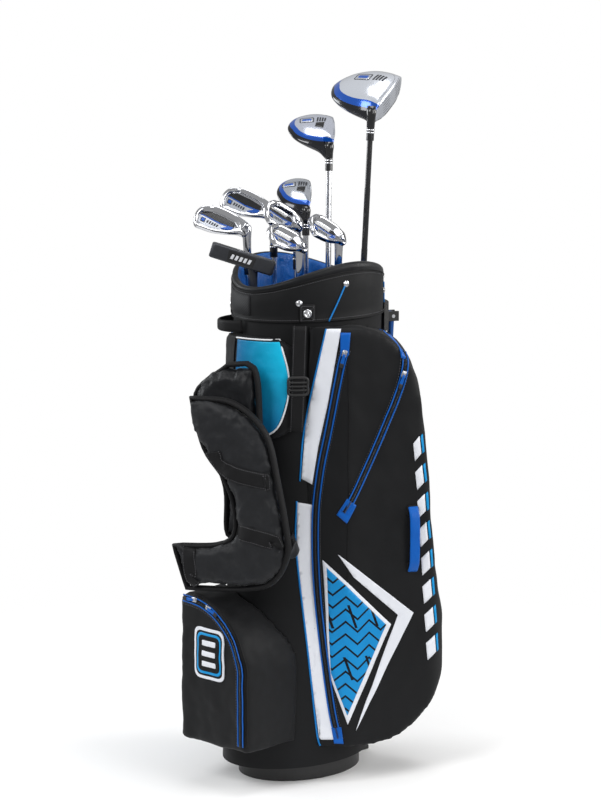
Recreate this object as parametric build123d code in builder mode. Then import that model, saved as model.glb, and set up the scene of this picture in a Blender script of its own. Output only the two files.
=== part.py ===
"""Golf club set: a stand bag with two side pockets, a ball pocket, shoulder straps and legs.
It holds nine clubs.

Frame: the origin is the centre of the base on the floor and +Z is up. -Y is the strap side, +Y the leg side
and +X the side of the large right pocket. All lengths are in millimetres.
"""
from build123d import *
import math
import os

os.makedirs("parts", exist_ok=True)

# ---- bag body: an oval tube between the hem and the collar ----
HEM_Z = 30.0
SHELL_TOP = 796.0
BOTTOM_HALF_LONG = 145.0
BOTTOM_HALF_WIDE = 107.0
TOP_HALF_LONG = 140.0
TOP_HALF_WIDE = 113.0
TOP_SHIFT = 30.0
SHELL_WALL = 3.0

# ---- collar and divider ----
COLLAR_PROUD = 3.0
COLLAR_WALL = 12.0
RIM_HIGH = 97.0
RIM_ARC_RADIUS = 275.0
DIVIDER_FLOOR = SHELL_TOP + 6.0
DIVIDER_DEEP = 40.0
DIVIDER_BAR = 8.0
DIVIDER_CROSS_Y = 68.5
DIVIDER_LONG_X = 0.0
DIVIDER_SHORT_Y = -21.0

# ---- base ----
FOOT_HALF_LONG = 118.0
FOOT_HALF_WIDE = 92.0
FOOT_SHIFT = 8.0
FOOT_WALL = 5.0
SOLE_THICK = 4.0
CUP_FLOOR_TOP = 24.0
CUP_FLOOR_THICK = 3.0
CUP_HIGH = 50.0
CUP_WALL = 3.0
CUP_CLEAR = 0.3

# ---- trigger flap in the base ----
FLAP_HALF_WIDE = 44.5
FLAP_GAP = 1.5
FLAP_LIFT_OFF = 1.0
FLAP_THICK = 7.0
FLAP_PIN_Y = 27.0
FLAP_PIN_Z = 10.0
FLAP_BARREL_RADIUS = 5.5
FLAP_PIN_RADIUS = 2.5
FLAP_LUG_WIDE = 8.0
FLAP_LUG_LONG = 14.0
FLAP_HEEL_WALL = 3.0
FLAP_HEEL_HIGH = 16.0
TAB_HALF_WIDE = 28.0
RUNNING_CLEAR = 0.05

# ---- actuator rods on the spine ----
ROD_RADIUS = 2.5
ROD_X = 20.0
ROD_STAND_OFF = 6.0
ROD_SEAT_GAP = 0.3
ROD_YOKE_Z = SHELL_TOP - 59.0
ROD_YOKE_SIZE = 8.0
ROD_GUIDE_Z = (130.0, 410.0, ROD_YOKE_Z - 97.0)
ROD_GUIDE_HIGH = 16.0

# ---- legs ----
LEG_TOP = (66.0, TOP_SHIFT + TOP_HALF_LONG - 2.0, SHELL_TOP - 11.0)
LEG_BOTTOM = (46.0, 144.0, 50.0)
LEG_SPLAY_DEG = 25.0
LEG_RADIUS = 5.5
LEG_EYE_RADIUS = 8.0
LEG_EYE_LONG = 14.0
LEG_PIN_RADIUS = 3.0
LEG_FOOT_RADIUS = 9.0
LEG_FOOT_LONG = 40.0
LEG_FOOT_BELOW = 22.0
EAR_THICK = 4.0
EAR_GAP = 0.5
EAR_REACH = 10.0
BRACKET_LOW = SHELL_TOP - 34.0
BRACKET_HIGH = SHELL_TOP + 16.0
BRACKET_BACK = 9.0
BRACKET_HALF_WIDE = 80.0

# ---- stays ----
STAY_RADIUS = 3.0
STAY_INSET = 11.0
STAY_ANGLES = (40.0, 140.0, 215.0, 325.0)

# ---- pockets ----
SIDE_POCKET_LOW = 62.0
SIDE_POCKET_HIGH = SHELL_TOP - 1.0
POCKET_FRONT = (TOP_HALF_WIDE - 25.0, -66.0)
POCKET_CORNER = (TOP_HALF_WIDE + 28.0, -17.0)
POCKET_BACK_RADIUS = 26.0
POCKET_LEG_SIDE_X = TOP_HALF_WIDE - 23.0
POCKET_BACK_Y = 172.0
RIGHT_POCKET_REACH = TOP_HALF_WIDE + 93.0
LEFT_POCKET_REACH = TOP_HALF_WIDE + 63.0
# outward edge of a side pocket: distance beyond its reach and rise above its floor, for a pocket
# that is POCKET_EDGE_HIGH tall
POCKET_EDGE_HIGH = 733.0
POCKET_EDGE = ((10.0, 43.0), (44.0, 98.0), (54.0, 158.0), (40.0, 268.0), (24.0, 408.0),
               (18.0, 498.0), (10.0, 583.0), (-8.0, 653.0), (-34.0, 690.0))
BALL_POCKET_LEFT = -74.0
BALL_POCKET_FRONT = 208.0
BALL_POCKET_LOW = 78.0
BALL_POCKET_CORNER = 20.0
BALL_POCKET_ROUND = 10.0
BALL_ARCH_CENTRE = (-44.0, 203.0)
BALL_ARCH_RADIUS = 133.0
ZIP_INSET = 9.0

# ---- zip sliders ----
SLIDER_LONG = 12.0
SLIDER_WIDE = 8.0
SLIDER_THICK = 4.0
SLIDER_GAP = 0.4
PULL_LONG = 22.0
PULL_WIDE = 6.0
PULL_THICK = 1.6
# distance along the pocket's face and height, where each side zip starts and ends
LONG_ZIP = ((66.0, SIDE_POCKET_HIGH - 50.0), (18.0, SIDE_POCKET_HIGH - 340.0))
DIAGONAL_ZIP = ((99.0, SIDE_POCKET_HIGH - 90.0), (12.0, SIDE_POCKET_HIGH - 290.0))

# ---- straps and handles ----
HIP_PAD_THICK = 12.0
HIP_PAD_LOW = SHELL_TOP - 198.0
HIP_PAD_HIGH = SHELL_TOP - 24.0
HIP_PAD_HALF_WIDE = TOP_HALF_WIDE - 29.0
STRAP_ORIGIN = (-54.0, -205.0)
STRAP_HEADING = (117.0, 45.0)
PAD_THICK = 20.0
PAD_GAP = 4.0
WEB_WIDE = 24.0
WEB_THICK = 2.5
WEB_ANGLE = -46.0
WEB_TOP = SHELL_TOP - 4.0
WEB_LOW = SHELL_TOP - 182.0
WEB_OFF = 15.0
BUCKLE_Z = SHELL_TOP - 104.0
BUCKLE_HIGH = 26.0
BUCKLE_THICK = 4.0
TIE_START = (117.0, -130.0, 425.0)
TIE_END = (99.0, -72.0, 425.0)
TIE_WIDE = 36.0
CARRY_ANGLES = (-98.0, -134.0)
CARRY_Z = SHELL_TOP - 11.5
CARRY_HIGH = 22.0
CARRY_THICK = 4.0
CARRY_STAND_OFF = 26.0
GRAB_AT = (118.0, 420.0)
GRAB_WIDE = 20.0
GRAB_LONG = 110.0
GRAB_STAND_OFF = 8.0

# ---- rivets and studs: angle round the bag and height ----
RIVETS = ((-46.0, SHELL_TOP + 33.0), (-10.0, SHELL_TOP + 62.0), (45.0, SHELL_TOP + 38.0))
RIVET_RADIUS = 5.0
RIVET_HIGH = 2.5
STUD_ANGLE = -40.0
STUD_Z = SHELL_TOP + 16.0
STUD_RADIUS = 7.0
STUD_PLATE = 26.0
STUD_PLATE_THICK = 1.2

# ---- clubs ----
MOUTH_Z = SHELL_TOP + 24.0
BUTT_GAP = 0.4
GRIP_LONG = 265.0
GRIP_BUTT_RADIUS = 13.3
GRIP_TIP_RADIUS = 9.8
GRIP_CAP = 4.0
SHAFT_BUTT_RADIUS = 7.4
SHAFT_TIP_RADIUS = 4.7
SHAFT_WALL = 0.7
SHAFT_STEPS = 8
FERRULE_LONG = 22.0
FERRULE_RADIUS = 6.6
HOSEL_RADIUS = 6.8

# name: kind, length, lie, loft, toe heading, butt x and y, mouth x and y
CLUBS = {
    "driver": ("wood", 1142.0, 58.0, 10.5, 105.0, (46.0, 62.0), (73.0, 87.0)),
    "wood_3": ("wood", 1070.0, 57.0, 15.0, 135.0, (-14.0, 88.0), (-40.0, 120.0)),
    "hybrid": ("wood", 965.0, 59.0, 24.0, 135.0, (-16.0, 38.0), (-18.0, 42.0)),
    "iron_6": ("iron", 952.0, 62.0, 28.0, 225.0, (-46.0, 10.0), (-60.0, 8.0)),
    "iron_7": ("iron", 940.0, 62.5, 32.0, 268.0, (14.0, -18.0), (22.0, -20.0)),
    "iron_8": ("iron", 927.0, 63.0, 36.0, 225.0, (-44.0, -34.0), (-61.0, -52.0)),
    "iron_9": ("iron", 914.0, 63.5, 40.0, 268.0, (48.0, 26.0), (60.0, 40.0)),
    "pitching_wedge": ("iron", 908.0, 64.0, 44.0, 268.0, (46.0, -34.0), (62.0, -53.0)),
    "putter": ("putter", 880.0, 71.0, 3.0, 225.0, (-14.0, -58.0), (-24.0, -76.0)),
}

# toe width, back depth, crown height, distance from the sole to the hosel's end
WOOD_SIZES = {
    "driver": (112.0, 116.0, 60.0, 52.0),
    "wood_3": (94.0, 86.0, 38.0, 40.0),
    "hybrid": (88.0, 64.0, 35.0, 40.0),
}
FACE_SET = 14.0
WOOD_HEEL = 13.0
NECK_ROOT = 0.55
NECK_ROOT_RADIUS = 9.5
WOOD_MIDDLE = 0.45
# plan of a wood's head about its middle: share of the toe width, share of the back depth
WOOD_OUTLINE = ((-0.5, -0.22), (-0.36, -0.46), (0.05, -0.5), (0.42, -0.45), (0.55, -0.2),
                (0.53, 0.12), (0.34, 0.42), (0.04, 0.55), (-0.26, 0.44), (-0.45, 0.14))
IRON_BLADE_LONG = 86.0
IRON_FACE_THICK = 4.0
IRON_RIM_THICK = 12.0
IRON_RIM_WIDE = 6.0
IRON_HOSEL = 66.0
PUTTER_LONG = 112.0
PUTTER_HEEL = 42.0
PUTTER_DEEP = 26.0
PUTTER_HIGH = 25.0
PUTTER_NECK = 78.0
PUTTER_NECK_RADIUS = 5.6


def share(z):
    """Height of z as a share of the body, 0 at the hem and 1 at the collar."""
    return (z - HEM_Z) / (SHELL_TOP - HEM_Z)


def half_long(z):
    return BOTTOM_HALF_LONG + (TOP_HALF_LONG - BOTTOM_HALF_LONG) * share(z)


def half_wide(z):
    return BOTTOM_HALF_WIDE + (TOP_HALF_WIDE - BOTTOM_HALF_WIDE) * share(z)


def centre_y(z):
    return TOP_SHIFT * share(z)


def back_y(z):
    return centre_y(z) + half_long(z)


def body_form(low, high, inset):
    """The solid inside the bag's oval surface, moved inwards by inset."""
    with BuildPart() as form:
        for z in (low, high):
            with BuildSketch(Plane.XY.offset(z)):
                with Locations((0, centre_y(z))):
                    Ellipse(half_wide(z) - inset, half_long(z) - inset)
        loft()
    return form.part


def finish(part, name):
    part.label = name
    export_step(part, f"parts/{name}.step")


def foot_oval(inset, mode=Mode.ADD):
    """Outline of the foot ring, moved inwards, for the sketch that is open."""
    with Locations((0, FOOT_SHIFT)):
        Ellipse(FOOT_HALF_WIDE - inset, FOOT_HALF_LONG - inset, mode=mode)


# ---------------------------------------------------------------- base

def make_base_cup():
    """Foot ring on the floor, grip floor, flange under the hem, and the wall that the shell is fixed to."""
    cup_inset = SHELL_WALL + CUP_CLEAR
    wall = body_form(HEM_Z, HEM_Z + CUP_HIGH, cup_inset)
    hollow = body_form(HEM_Z, HEM_Z + CUP_HIGH, cup_inset + CUP_WALL)
    slot_half = FLAP_HALF_WIDE + FLAP_GAP
    slot_start = FLAP_PIN_Y - FLAP_BARREL_RADIUS - FLAP_GAP
    heel = FOOT_SHIFT + FOOT_HALF_LONG
    with BuildPart() as base_cup:
        with BuildSketch(Plane.XY):
            foot_oval(0)
        extrude(amount=HEM_Z)
        with BuildSketch(Plane.XY.offset(SOLE_THICK)):
            foot_oval(FOOT_WALL)
        extrude(amount=HEM_Z, mode=Mode.SUBTRACT)
        with BuildSketch(Plane.XY.offset(CUP_FLOOR_TOP - CUP_FLOOR_THICK)):
            foot_oval(FOOT_WALL)
        extrude(amount=CUP_FLOOR_THICK)
        add(wall)
        add(hollow, mode=Mode.SUBTRACT)
        with BuildSketch(Plane.XY.offset(HEM_Z)):
            with Locations((0, centre_y(HEM_Z))):
                Ellipse(BOTTOM_HALF_WIDE - cup_inset, BOTTOM_HALF_LONG - cup_inset)
            foot_oval(FOOT_WALL, Mode.SUBTRACT)
        extrude(amount=CUP_WALL)
        # slot that the trigger flap works in, open through the heel
        slot_high = CUP_FLOOR_TOP - CUP_FLOOR_THICK
        with Locations((0, (slot_start + heel + 20) / 2, slot_high / 2 - 1)):
            Box(2 * slot_half, heel + 20 - slot_start, slot_high + 2, mode=Mode.SUBTRACT)
        with BuildSketch(Plane.XY.offset(-1)):
            foot_oval(-2)
            foot_oval(FOOT_WALL - CUP_CLEAR, Mode.SUBTRACT)
            with Locations((0, heel)):
                Rectangle(2 * slot_half, heel, mode=Mode.INTERSECT)
        extrude(amount=HEM_Z + 1, mode=Mode.SUBTRACT)
        # lugs that carry the flap's pin
        for side in (-1, 1):
            with Locations((side * (slot_half + FLAP_LUG_WIDE / 2), FLAP_PIN_Y, HEM_Z / 4)):
                Box(FLAP_LUG_WIDE, FLAP_LUG_LONG, HEM_Z / 2)
        with Locations(Plane((0, FLAP_PIN_Y, FLAP_PIN_Z), x_dir=(0, 1, 0), z_dir=(1, 0, 0))):
            Cylinder(FLAP_PIN_RADIUS + RUNNING_CLEAR, 2 * (slot_half + FLAP_LUG_WIDE) + 2, mode=Mode.SUBTRACT)
    finish(base_cup.part, "base_cup")


def make_base_flap():
    """Plate hinged across the base whose heel is pushed up when the bag leans back."""
    heel = FOOT_SHIFT + FOOT_HALF_LONG
    with BuildPart() as base_flap:
        with BuildSketch(Plane.XY.offset(FLAP_LIFT_OFF)):
            foot_oval(0)
            with Locations((0, FLAP_PIN_Y + heel / 2)):
                Rectangle(2 * FLAP_HALF_WIDE, heel, mode=Mode.INTERSECT)
        extrude(amount=FLAP_THICK)
        with BuildSketch(Plane.XY.offset(FLAP_LIFT_OFF)):
            foot_oval(0)
            foot_oval(FLAP_HEEL_WALL, Mode.SUBTRACT)
            with Locations((0, FLAP_PIN_Y + heel / 2)):
                Rectangle(2 * FLAP_HALF_WIDE, heel, mode=Mode.INTERSECT)
        extrude(amount=FLAP_HEEL_HIGH - FLAP_LIFT_OFF)
        tab_long = back_y(HEM_Z) + ROD_STAND_OFF + 2 * ROD_RADIUS - heel + 6
        with Locations((0, heel - 6 + tab_long / 2, FLAP_LIFT_OFF + FLAP_THICK / 2)):
            Box(2 * TAB_HALF_WIDE, tab_long, FLAP_THICK)
        with Locations(Plane((0, FLAP_PIN_Y, FLAP_PIN_Z), x_dir=(0, 1, 0), z_dir=(1, 0, 0))):
            Cylinder(FLAP_BARREL_RADIUS, 2 * FLAP_HALF_WIDE)
            Cylinder(FLAP_PIN_RADIUS, 2 * FLAP_HALF_WIDE + 2, mode=Mode.SUBTRACT)
    finish(base_flap.part, "base_flap")


def make_flap_pin():
    with BuildPart() as flap_pin:
        with Locations(Plane((0, FLAP_PIN_Y, FLAP_PIN_Z), x_dir=(0, 1, 0), z_dir=(1, 0, 0))):
            Cylinder(FLAP_PIN_RADIUS, 2 * (FLAP_HALF_WIDE + FLAP_GAP + FLAP_LUG_WIDE))
    finish(flap_pin.part, "flap_pin")


# ---------------------------------------------------------------- body

def make_bag_shell():
    outer = body_form(HEM_Z, SHELL_TOP, 0)
    inner = body_form(HEM_Z, SHELL_TOP, SHELL_WALL)
    with BuildPart() as bag_shell:
        add(outer)
        add(inner, mode=Mode.SUBTRACT)
    finish(bag_shell.part, "bag_shell")


def make_top_collar():
    """Padded rim, high over the two sides and low at the strap side and the leg side."""
    collar_wide = TOP_HALF_WIDE + COLLAR_PROUD
    collar_long = TOP_HALF_LONG + COLLAR_PROUD
    with BuildPart() as top_collar:
        with BuildSketch(Plane.XY.offset(SHELL_TOP)):
            with Locations((0, TOP_SHIFT)):
                Ellipse(collar_wide, collar_long)
                Ellipse(collar_wide - COLLAR_WALL, collar_long - COLLAR_WALL, mode=Mode.SUBTRACT)
        extrude(amount=RIM_HIGH)
        saddle_z = SHELL_TOP + RIM_HIGH - RIM_ARC_RADIUS
        saddle = Plane((0, TOP_SHIFT, saddle_z), x_dir=(0, 1, 0), z_dir=(1, 0, 0))
        with Locations(saddle):
            Cylinder(RIM_ARC_RADIUS, 3 * collar_wide, mode=Mode.INTERSECT)
    finish(top_collar.part, "top_collar")


def make_top_divider():
    """Padded bars across the mouth that keep the clubs apart, five ways in all."""
    inner_wide = TOP_HALF_WIDE + COLLAR_PROUD - COLLAR_WALL
    inner_long = TOP_HALF_LONG + COLLAR_PROUD - COLLAR_WALL
    with BuildPart() as top_divider:
        with BuildSketch(Plane.XY.offset(DIVIDER_FLOOR)):
            with Locations((DIVIDER_LONG_X, TOP_SHIFT)):
                Rectangle(DIVIDER_BAR, 2 * inner_long)
            with Locations((0, DIVIDER_CROSS_Y)):
                Rectangle(2 * inner_wide, DIVIDER_BAR)
            with Locations((DIVIDER_LONG_X - inner_wide, DIVIDER_SHORT_Y)):
                Rectangle(2 * inner_wide, DIVIDER_BAR)
            with Locations((0, TOP_SHIFT)):
                Ellipse(inner_wide, inner_long, mode=Mode.INTERSECT)
        extrude(amount=DIVIDER_DEEP)
    finish(top_divider.part, "top_divider")


def make_stay_rods():
    """Four fibre rods inside the shell that carry the collar on the base."""
    low = HEM_Z + CUP_WALL
    with BuildPart() as stay_rods:
        for angle in STAY_ANGLES:
            turn = math.radians(angle)
            ends = []
            for z in (low, SHELL_TOP):
                x = (half_wide(z) - STAY_INSET) * math.cos(turn)
                y = centre_y(z) + (half_long(z) - STAY_INSET) * math.sin(turn)
                ends.append(Vector(x, y, z))
            with BuildSketch(Plane.XY.offset(low)):
                with Locations((ends[0].X, ends[0].Y)):
                    Circle(STAY_RADIUS)
            with BuildSketch(Plane.XY.offset(SHELL_TOP)):
                with Locations((ends[1].X, ends[1].Y)):
                    Circle(STAY_RADIUS)
            loft()
    finish(stay_rods.part, "stay_rods")


# ---------------------------------------------------------------- legs

def leg_planes(side):
    """The hinge's plane (local x along the pin, local y the way the leg swings out, z up)."""
    splay = math.radians(LEG_SPLAY_DEG)
    top = Vector(side * LEG_TOP[0], LEG_TOP[1], LEG_TOP[2])
    pin_dir = Vector(math.cos(splay), -side * math.sin(splay), 0)
    return top, pin_dir


def make_leg_bracket():
    """Plate on the spine with a clevis for each leg."""
    body = body_form(HEM_Z, SHELL_TOP, 0)
    collar_wide = TOP_HALF_WIDE + COLLAR_PROUD
    collar_long = TOP_HALF_LONG + COLLAR_PROUD
    plate_back = back_y(SHELL_TOP) + COLLAR_PROUD + BRACKET_BACK
    with BuildPart() as leg_bracket:
        with BuildSketch(Plane.XY.offset(BRACKET_LOW)):
            with Locations((0, TOP_SHIFT)):
                Ellipse(collar_wide + BRACKET_BACK, collar_long + BRACKET_BACK)
            with Locations((0, plate_back)):
                plate_deep = plate_back - LEG_TOP[1] + 2 * BRACKET_BACK + 60
                Rectangle(2 * BRACKET_HALF_WIDE, plate_deep, mode=Mode.INTERSECT)
        extrude(amount=BRACKET_HIGH - BRACKET_LOW)
        for side in (-1, 1):
            top, pin_dir = leg_planes(side)
            hinge = Plane(top, x_dir=pin_dir, z_dir=(0, 0, 1))
            window = LEG_EYE_LONG + 2 * EAR_GAP
            with BuildSketch(hinge.offset(-LEG_EYE_RADIUS - EAR_GAP)):
                Rectangle(window + 2 * EAR_THICK, 2 * EAR_REACH)
            extrude(amount=2 * (LEG_EYE_RADIUS + EAR_GAP))
        for side in (-1, 1):
            top, pin_dir = leg_planes(side)
            hinge = Plane(top, x_dir=pin_dir, z_dir=(0, 0, 1))
            window = LEG_EYE_LONG + 2 * EAR_GAP
            low = BRACKET_LOW - LEG_TOP[2] - 1
            with BuildSketch(hinge.offset(low)):
                with Locations((0, 30 - LEG_EYE_RADIUS - EAR_GAP)):
                    Rectangle(window, 60)
            extrude(amount=LEG_EYE_RADIUS + EAR_GAP + 2 - low, mode=Mode.SUBTRACT)
            across = Plane(top, x_dir=(0, 0, 1), z_dir=pin_dir)
            with Locations(across):
                Cylinder(LEG_PIN_RADIUS, window + 2 * EAR_THICK + 30, mode=Mode.SUBTRACT)
        add(body, mode=Mode.SUBTRACT)
        with BuildSketch(Plane.XY.offset(SHELL_TOP)):
            with Locations((0, TOP_SHIFT)):
                Ellipse(collar_wide, collar_long)
        extrude(amount=RIM_HIGH, mode=Mode.SUBTRACT)
    finish(leg_bracket.part, "leg_bracket")


def make_leg_pins():
    with BuildPart() as leg_pins:
        for side in (-1, 1):
            top, pin_dir = leg_planes(side)
            with Locations(Plane(top, x_dir=(0, 0, 1), z_dir=pin_dir)):
                Cylinder(LEG_PIN_RADIUS, LEG_EYE_LONG + 2 * EAR_GAP + 2 * EAR_THICK)
    finish(leg_pins.part, "leg_pins")


def make_leg(side, name):
    """Leg tube with an eye on the hinge pin, and its rubber foot."""
    top, pin_dir = leg_planes(side)
    bottom = Vector(side * LEG_BOTTOM[0], LEG_BOTTOM[1], LEG_BOTTOM[2])
    along = (bottom - top).normalized()
    length = (bottom - top).length
    with BuildPart() as leg:
        with BuildSketch(Plane(top, z_dir=along)):
            Circle(LEG_RADIUS)
        extrude(amount=length)
        with Locations(Plane(top, x_dir=(0, 0, 1), z_dir=pin_dir)):
            Cylinder(LEG_EYE_RADIUS, LEG_EYE_LONG)
            Cylinder(LEG_PIN_RADIUS + RUNNING_CLEAR, LEG_EYE_LONG + 4, mode=Mode.SUBTRACT)
    finish(leg.part, name)
    foot_end = Plane(top + along * (length - LEG_FOOT_LONG + LEG_FOOT_BELOW), z_dir=along)
    with BuildPart() as foot:
        with BuildSketch(foot_end):
            Circle(LEG_FOOT_RADIUS)
        extrude(amount=LEG_FOOT_LONG)
        fillet(foot.edges().filter_by(GeomType.CIRCLE), LEG_FOOT_RADIUS / 3)
        with BuildSketch(Plane(top, z_dir=along)):
            Circle(LEG_RADIUS)
        extrude(amount=length, mode=Mode.SUBTRACT)
    finish(foot.part, name.replace("leg_", "leg_foot_"))


def spine_point(z, x):
    return Vector(x, back_y(z) + ROD_STAND_OFF, z)


def make_actuator_rods():
    """Two rods beside the spine, joined by a yoke, that ride on the flap's tab and push the legs out."""
    foot_z = FLAP_LIFT_OFF + FLAP_THICK + ROD_SEAT_GAP
    along = (spine_point(ROD_YOKE_Z, 0) - spine_point(HEM_Z, 0)).normalized()
    with BuildPart() as actuator_rods:
        for x in (-ROD_X, ROD_X):
            start = spine_point(HEM_Z, x) + along * ((foot_z - HEM_Z) / along.Z)
            with BuildSketch(Plane(start, z_dir=along)):
                Circle(ROD_RADIUS)
            extrude(amount=(ROD_YOKE_Z - foot_z) / along.Z)
        with Locations(Plane(spine_point(ROD_YOKE_Z, 0), x_dir=(1, 0, 0), z_dir=along)):
            Box(2 * ROD_X + ROD_YOKE_SIZE, ROD_YOKE_SIZE - 1, ROD_YOKE_SIZE)
    finish(actuator_rods.part, "actuator_rods")


def make_rod_guides():
    """Clips on the spine that the rods slide in."""
    body = body_form(HEM_Z, SHELL_TOP, 0)
    along = (spine_point(ROD_YOKE_Z, 0) - spine_point(HEM_Z, 0)).normalized()
    with BuildPart() as rod_guides:
        for z in ROD_GUIDE_Z:
            for x in (-ROD_X, ROD_X):
                with Locations((x, back_y(z) + ROD_STAND_OFF - 4, z)):
                    Box(6 * ROD_RADIUS, 20, ROD_GUIDE_HIGH)
        for x in (-ROD_X, ROD_X):
            with BuildSketch(Plane(spine_point(HEM_Z, x), z_dir=along)):
                Circle(ROD_RADIUS + RUNNING_CLEAR)
            extrude(amount=SHELL_TOP, mode=Mode.SUBTRACT)
        add(body, mode=Mode.SUBTRACT)
    finish(rod_guides.part, "rod_guides")


# ---------------------------------------------------------------- pockets

def pocket_faces(reach):
    """Upright planes of the side pocket's two outer faces: local x backwards along the face, local y up."""
    front = Vector(*POCKET_FRONT, 0)
    corner = Vector(*POCKET_CORNER, 0)
    back = Vector(reach, POCKET_BACK_Y - 2 * POCKET_BACK_RADIUS, 0)
    planes = []
    for start, end in ((front, corner), (corner, back)):
        heading = (end - start).normalized()
        planes.append(Plane(start, x_dir=heading, z_dir=Vector(heading.Y, -heading.X, 0)))
    return planes


def side_pocket(side, reach, name):
    """Tall pocket over one side: its plan times its elevation, less the bag's own body."""
    body = body_form(0, SHELL_TOP + 20, 0)
    corner_y = POCKET_BACK_Y - 2 * POCKET_BACK_RADIUS
    stretch = (SIDE_POCKET_HIGH - SIDE_POCKET_LOW) / POCKET_EDGE_HIGH
    with BuildPart() as pocket:
        with BuildSketch(Plane.XY.offset(SIDE_POCKET_LOW)):
            with BuildLine():
                Polyline((POCKET_LEG_SIDE_X, POCKET_BACK_Y), (POCKET_LEG_SIDE_X, 0), (0, 0),
                         (0, POCKET_FRONT[1]), POCKET_FRONT, POCKET_CORNER, (reach, corner_y))
                Spline((reach, corner_y), (reach - POCKET_BACK_RADIUS, POCKET_BACK_Y),
                       tangents=((0.42, 1), (-1, 0.1)))
                Line((reach - POCKET_BACK_RADIUS, POCKET_BACK_Y), (POCKET_LEG_SIDE_X, POCKET_BACK_Y))
            make_face()
        extrude(amount=SIDE_POCKET_HIGH - SIDE_POCKET_LOW)
        # elevation, seen square to the outward corner
        with BuildSketch(Plane((0, 0, 0), x_dir=(1, 1, 0), z_dir=(1, -1, 0))):
            with BuildLine():
                low_corner = (0.49 * reach + 30, SIDE_POCKET_LOW)
                high_corner = (0.5 * reach - 8, SIDE_POCKET_HIGH - 6)
                Spline(low_corner, *[(reach + out, SIDE_POCKET_LOW + rise * stretch)
                                     for out, rise in POCKET_EDGE], high_corner)
                Polyline(high_corner, (-20, SIDE_POCKET_HIGH), (-20, SIDE_POCKET_LOW), low_corner)
            make_face()
        extrude(amount=400, both=True, mode=Mode.INTERSECT)
        add(body, mode=Mode.SUBTRACT)
        if side < 0:
            mirror(about=Plane.YZ, mode=Mode.REPLACE)
    finish(pocket.part, name)


def make_ball_pocket():
    """Pocket on the strap side with an arched front."""
    body = body_form(0, SHELL_TOP, 0)
    arch_x, arch_z = BALL_ARCH_CENTRE
    right = arch_x + BALL_ARCH_RADIUS
    top = arch_z + BALL_ARCH_RADIUS
    shoulder = (BALL_POCKET_LEFT + BALL_POCKET_CORNER, top)
    with BuildPart() as ball_pocket:
        with BuildSketch(Plane.XZ.offset(BOTTOM_HALF_LONG / 2)):
            with BuildLine():
                Polyline((right, arch_z), (right, BALL_POCKET_LOW), (BALL_POCKET_LEFT, BALL_POCKET_LOW),
                         (BALL_POCKET_LEFT, top - BALL_POCKET_CORNER))
                TangentArc((BALL_POCKET_LEFT, top - BALL_POCKET_CORNER), shoulder, tangent=(0, 1))
                Line(shoulder, (arch_x, top))
                TangentArc((arch_x, top), (right, arch_z), tangent=(1, 0))
            make_face()
        extrude(amount=BALL_POCKET_FRONT - BOTTOM_HALF_LONG / 2)
        fillet(ball_pocket.faces().sort_by(Axis.Y)[0].edges(), BALL_POCKET_ROUND)
        add(body, mode=Mode.SUBTRACT)
    finish(ball_pocket.part, "ball_pocket")


def make_slider(name, face, start, direction):
    """Zip slider and its pull tab, standing just off a pocket's face."""
    at = face.from_local_coords(Vector(*start, SLIDER_GAP))
    down = (face.x_dir * direction[0] + face.y_dir * direction[1]).normalized()
    seat = Plane(at, x_dir=down, z_dir=face.z_dir)
    with BuildPart() as slider:
        with BuildSketch(seat):
            RectangleRounded(SLIDER_LONG, SLIDER_WIDE, SLIDER_WIDE / 3)
        extrude(amount=SLIDER_THICK)
        with BuildSketch(seat.offset(SLIDER_THICK - PULL_THICK)):
            with Locations((SLIDER_LONG / 2 + PULL_LONG / 2 - 2, 0)):
                RectangleRounded(PULL_LONG, PULL_WIDE, PULL_WIDE / 3)
        extrude(amount=PULL_THICK)
    finish(slider.part, name)


def make_zip_sliders():
    faces = pocket_faces(RIGHT_POCKET_REACH)
    for name, face, (start, end) in (("zip_slider_long", faces[0], LONG_ZIP),
                                     ("zip_slider_diagonal", faces[1], DIAGONAL_ZIP)):
        make_slider(name, face, start, (end[0] - start[0], end[1] - start[1]))
    front = Plane.XZ.offset(BALL_POCKET_FRONT)
    arch_x, arch_z = BALL_ARCH_CENTRE
    zip_radius = BALL_ARCH_RADIUS - ZIP_INSET
    turn = math.radians(68)
    on_arch = (arch_x + zip_radius * math.cos(turn), arch_z + zip_radius * math.sin(turn))
    make_slider("zip_slider_ball_right", front, on_arch, (math.sin(turn), -math.cos(turn)))
    make_slider("zip_slider_ball_left", front, (arch_x + SLIDER_LONG, arch_z + zip_radius), (-1, 0))


# ---------------------------------------------------------------- straps and handles

def make_hip_pad():
    proud = body_form(0, SHELL_TOP, -HIP_PAD_THICK)
    body = body_form(0, SHELL_TOP, 0)
    with BuildPart() as hip_pad:
        with BuildSketch(Plane.XZ):
            with Locations((0, (HIP_PAD_LOW + HIP_PAD_HIGH) / 2)):
                RectangleRounded(2 * HIP_PAD_HALF_WIDE, HIP_PAD_HIGH - HIP_PAD_LOW, HIP_PAD_HALF_WIDE / 2)
        extrude(amount=2 * TOP_HALF_LONG)
        add(proud, mode=Mode.INTERSECT)
        add(body, mode=Mode.SUBTRACT)
    finish(hip_pad.part, "hip_pad")


def strap_plane(proud):
    """Upright plane that the shoulder pads lie in: local x to the right, local y up."""
    heading = Vector(*STRAP_HEADING, 0).normalized()
    outward = Vector(heading.Y, -heading.X, 0)
    origin = Vector(*STRAP_ORIGIN, 0) + outward * proud
    return Plane(origin, x_dir=heading, z_dir=outward)


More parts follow.
